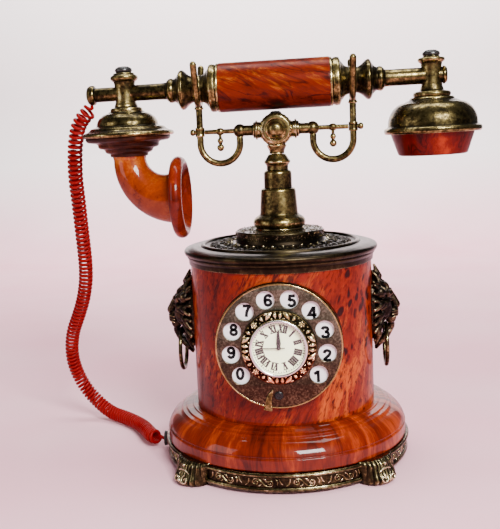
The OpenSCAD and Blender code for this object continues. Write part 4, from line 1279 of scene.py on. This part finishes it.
def handset_bar():
    """What lies along the handset: the grip, and a ferrule, a tube and an end cap on each side of it."""
    lathe("grip_wood_turned", "handset", "grip", [
        (5.3, -34.9), (15.2, -34.9), (15.4, -34.4), (15.4, 34.4), (15.2, 34.9), (5.3, 34.9)],
        across("grip", -34.9, 34.9, 1), 128, ["grip"])
    for s, side, post in ((-1, "left", 95.9), (1, "right", 97.5)):
        at = across("ferrule_" + side, 34.9, 50, s)
        part("ferrule_" + side, "bronze", [
            (4, 34.9), (15.0, 34.9, 0.2), (15.3, 35.6), (15.0, 36.3, 0.25), (14.2, 36.7, 0.25),
            (14.7, 37.3, 0.25), (14.9, 38.2, 0.4), (14.9, 40.0, 0.5), (14.4, 40.9), (12.6, 41.6, 0.4),
            (9.4, 44, 1.2), (8.2, 46.4, 0.5), (8.8, 47.2, 0.25), (8.8, 48.0, 0.25), (7.9, 48.5, 0.2),
            (7.8, 50), (4, 50)], at, 112)
        part("tube_" + side, "tube", [
            (3.2, 50), (7.8, 50), (8.0, 52, 0.5), (9.2, 54.4, 1.0), (11.6, 56.9, 0.8), (12.4, 57.9),
            (12.5, 59.2, 0.35), (11.7, 60.2), (9.2, 61.4, 0.6), (7.6, 63.0, 0.5), (7.1, 64.0),
            (7.6, 65.2, 0.4), (7.6, 66.8, 0.4), (6.6, 68.0), (5.4, 69, 0.4), (5.15, 72), (5.1, post - 4),
            (3.2, post - 4)], at, 96)
    part("end_cap_left", "tube", [
        (0, 98), (4.5, 98), (4.5, 114.9), (5.9, 115.5), (6.2, 116.2), (6.2, 118.2, 0.4), (5.4, 119.6, 0.4),
        (3.4, 120.5, 0.4), (1.6, 120.6, 0.2), (1.5, 119.8, 0.1), (0, 119.8)],
        across("ferrule_left", 34.9, 50, -1), 64, True)
    part("end_cap_right", "tube", [
        (0, 99), (4.8, 99), (4.8, 104.2), (5.5, 104.7, 0.2), (5.7, 105.4), (4.6, 107.0, 0.4), (2.0, 107.4),
        (0, 107.4)],
        across("ferrule_right", 34.9, 50, 1), 64, True)


def posts():
    """The post at each end, with a black button on top."""
    buttons = Shape()
    for node, outline, low, high in (
            ("mouth_post", [(0, 12.8), (4.6, 13.2), (5.6, 14.3, 0.4), (5.2, 15.8, 0.5), (3.2, 17.0, 0.5),
                            (0, 17.2)],
             -11, 13.2),
            ("ear_post", [(0, 11.4), (4.6, 11.6), (5.6, 12.7, 0.4), (5.2, 14.1, 0.5), (3.2, 15.3, 0.5),
                          (0, 15.5)],
             -13.2, 11.6)):
        buttons.turned(outline, upright(node, low, high), 48, closed=False)
    buttons.make("post_buttons_turned", "handset", "black", ["post_buttons"])
    part("mouth_post", "bronze", [
        (0, 13.2), (5.2, 13.2), (6.6, 12.8), (6.9, 11.9), (8.2, 11.3), (8.7, 10.6, 0.35), (8.7, 9.2, 0.35),
        (7.9, 8.2), (6.9, 7.6), (6.5, 5.4), (6.3, 0), (6.5, -5.4), (7.3, -7.4, 0.4), (7.4, -8.3, 0.2),
        (9.8, -9.0), (10.2, -9.8), (10.2, -11), (0, -11)], upright("mouth_post", -11, 13.2), 72, True)
    part("ear_post", "bronze", [
        (0, 11.6), (5.2, 11.6), (5.6, 10.9, 0.2), (7.8, 10.6), (8.4, 9.9), (8.2, 8.8), (7.4, 7.9), (6.6, 7.4),
        (6.35, 5.4), (6.2, 0), (6.35, -5.4), (7.0, -7.8, 0.4), (7.4, -9.2), (10.9, -10.0), (11.6, -10.9, 0.4),
        (11.6, -12.2, 0.4), (11.1, -13.2), (0, -13.2)], upright("ear_post", -13.2, 11.6), 72, True)


def mouthpiece():
    """The cast disc, the wooden rings under it, and the horn with its bell."""
    part("mouth_disc", "dome", [
        (0, -11), (11.2, -11, 0.2), (11.9, -11.8), (14.6, -12.6, 0.9), (18, -15, 1.4), (19.4, -17.9, 0.8),
        (19.7, -20.0), (20.8, -20.6, 0.25), (23.6, -21.3, 0.5), (24.9, -22.8), (26.0, -23.4, 0.2),
        (28.6, -24.2, 0.4), (29.5, -25.2, 0.4), (29.5, -26.2, 0.4), (28.6, -27.1), (15.2, -27.2),
        (15.2, -26.9), (0, -26.9)],
        upright("mouth_disc", -27.2, -11), 144, True, "cast")
    part("mouth_rings", "rings", [
        (14, -27.2), (27, -27.2), (27.3, -28.2, 0.4), (26.6, -29.6, 0.5), (25.2, -30.3, 0.4), (20.8, -30.9),
        (19.7, -31.7, 0.4), (19.6, -33.2, 0.4), (18.6, -34.3, 0.4), (16.0, -34.9), (15.4, -35.8),
        (15.2, -36.7), (14, -37.5), (12.3, -38), (12.0, -39.8, 0.2), (6.6, -39.8), (6.6, -30),
        (14, -28.4)], upright("mouth_rings", -39.8, -27.2), 128)
    lo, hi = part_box("grip")
    handset_at = Matrix.Translation((lo + hi) / 2 / MM) @ Matrix.Rotation(-HANDSET_TILT, 4, "Y")
    x, turn, top, drop = -95.9, 26.0, -39.8, -41.8
    steps, sides = 40, 72
    down = (0, 0, -1)

    def bend(t):
        """Where the horn's middle line is, that share of the way round its bend, and which way it goes."""
        c, s = math.cos(math.pi / 2 * t), math.sin(math.pi / 2 * t)
        return (x + turn * (1 - c), 0, drop - turn * s), (s, 0, -c)

    shares = np.linspace(0, 1, steps)
    outside = ([((x, 0, top), down, 10.9), ((x, 0, top - 0.7), down, 10.7)]
               + [(*bend(t), 10.4 + 6 * t ** 1.3) for t in shares])
    inside = [(*bend(t), 8.0 + 6 * t ** 1.3) for t in np.linspace(1, 0, steps)] + [((x, 0, top), down, 9.0)]
    a = np.arange(sides)[:, None] / sides * TAU
    rows = [np.array(place) + r * (np.cos(a) * np.cross((0, 1, 0), way) + np.sin(a) * np.array((0, 1.0, 0)))
            for place, way, r in outside + inside]
    Shape().rings(rows, True, True, at=handset_at).make("horn_turned", "handset", "horn", ["horn"], soft=0)
    part("horn_bell", "bell", [
        (14.1, 0), (16.4, 0, 0.1), (17.0, 0.9, 0.4), (18.4, 1.7, 0.8), (21.2, 2.0, 0.9),
        *bow(22.3, 5.4, 4.2, -78, 88, 16), (21.7, 9.2), (20.2, 7.2, 1.2), (17.0, 4.2, 2.0), (14.4, 1.6, 0.6)],
        handset_at @ Matrix.Translation(bend(1.0)[0]) @ axis_frame((1, 0, 0)), 128, soft=0)


def earpiece():
    """The cast dome and the wooden cup in it."""
    round_top = [(16.8 + 11 * math.sin(math.radians(a)), -16.2 - 14.6 * (1 - math.cos(math.radians(a))), 0)
                 for a in range(4, 84, 5)]
    part("ear_dome", "dome", [
        (0, -13.2), (13.0, -13.2, 0.2), (13.8, -13.9), (13.9, -14.7, 0.2), (16.0, -15.4, 0.5), *round_top,
        (27.7, -30.3, 0.2), (28.2, -31.0, 0.2), (29.5, -31.4), (30.2, -32.2, 0.35), (30.2, -34, 0.4),
        (29.4, -35.1), (25.9, -35.2), (25, -31), (22, -22), (18, -18.4), (0, -17.4)],
        upright("ear_dome", -35.2, -13.2), 160, True, "cast")
    part("ear_cup", "cup", [
        (17, -47.6, 0.4), (18.4, -48.6, 0.5), (20.2, -48.9, 0.5), (21.5, -48.2, 0.6), (25.9, -35.4),
        (25.8, -35.2), (23, -35.2), (18.6, -41, 1.0), (17, -41)], upright("ear_cup", -48.9, -35.2), 144)


handset_bar()
posts()
mouthpiece()
earpiece()


# ---------------------------------------------------------------- floor, backdrop and light
def studio():
    """A plain floor, a plain backdrop that curves up from it behind the telephone, and soft light."""
    floor_end, curve, top = 0.85, 0.3, 0.72

    def sheet(name, rows, half):
        verts = [(x, y, z) for y, z in rows for x in (-half, half)]
        me = bpy.data.meshes.new(name)
        me.from_pydata(verts, [], [(2 * i, 2 * i + 1, 2 * i + 3, 2 * i + 2) for i in range(len(rows) - 1)])
        me.polygons.foreach_set("use_smooth", [True] * len(me.polygons))
        o = bpy.data.objects.new(name, me)
        bpy.context.scene.collection.objects.link(o)
        p = Paint(name, Roughness=0.9, Specular_IOR_Level=0.2)
        low = p.mix(p.span(p.noise(p.spot(), 7, 2), 0.35, 0.65), (0.92, 0.47, 0.56), (0.95, 0.55, 0.62))
        me.materials.append(p.done(p.mix(p.span(p.along("Z"), 0.004, 0.16), low, (0.90, 0.84, 0.83))))

    sheet("floor", [(-1.5, 0.0), (floor_end, 0.0)], 1.5)
    rise = [(floor_end + curve * math.sin(t), curve * (1 - math.cos(t)))
            for t in np.linspace(0, math.pi / 2, 16)]
    sheet("backdrop", rise + [(floor_end + curve, top)], 0.72)

    world = bpy.data.worlds.new("world")
    world.use_nodes = True
    colour, strength = world.node_tree.nodes["Background"].inputs[:2]
    colour.default_value, strength.default_value = (1.0, 0.94, 0.93, 1), 0.12
    bpy.context.scene.world = world

    def panel(name, place, size, radiance, colour=(1, 1, 1), aim=(0, 0, 0.12)):
        """A soft light, in metres, with an even brightness whatever its size."""
        data = bpy.data.lights.new(name, "AREA")
        data.shape, data.size, data.size_y, data.color = "RECTANGLE", size[0], size[1], colour
        data.energy = radiance * math.pi * size[0] * size[1]
        o = bpy.data.objects.new(name, data)
        o.location = place
        o.rotation_euler = (Vector(aim) - Vector(place)).to_track_quat("-Z", "Y").to_euler()
        bpy.context.scene.collection.objects.link(o)

    panel("key", (0.36, -0.74, 0.66), (0.40, 0.26), 60)
    panel("front", (0.55, -0.95, 0.35), (0.7, 0.8), 0.7)
    panel("fill", (-0.95, -0.50, 0.40), (0.5, 0.7), 3.0, (1, 0.93, 0.93))
    panel("top", (0.05, 0.16, 1.15), (1.0, 0.4), 9.5)
    panel("back", (0, 0.72, 0.95), (1.5, 0.3), 22, aim=(0, 1.4, 0.5))


studio()
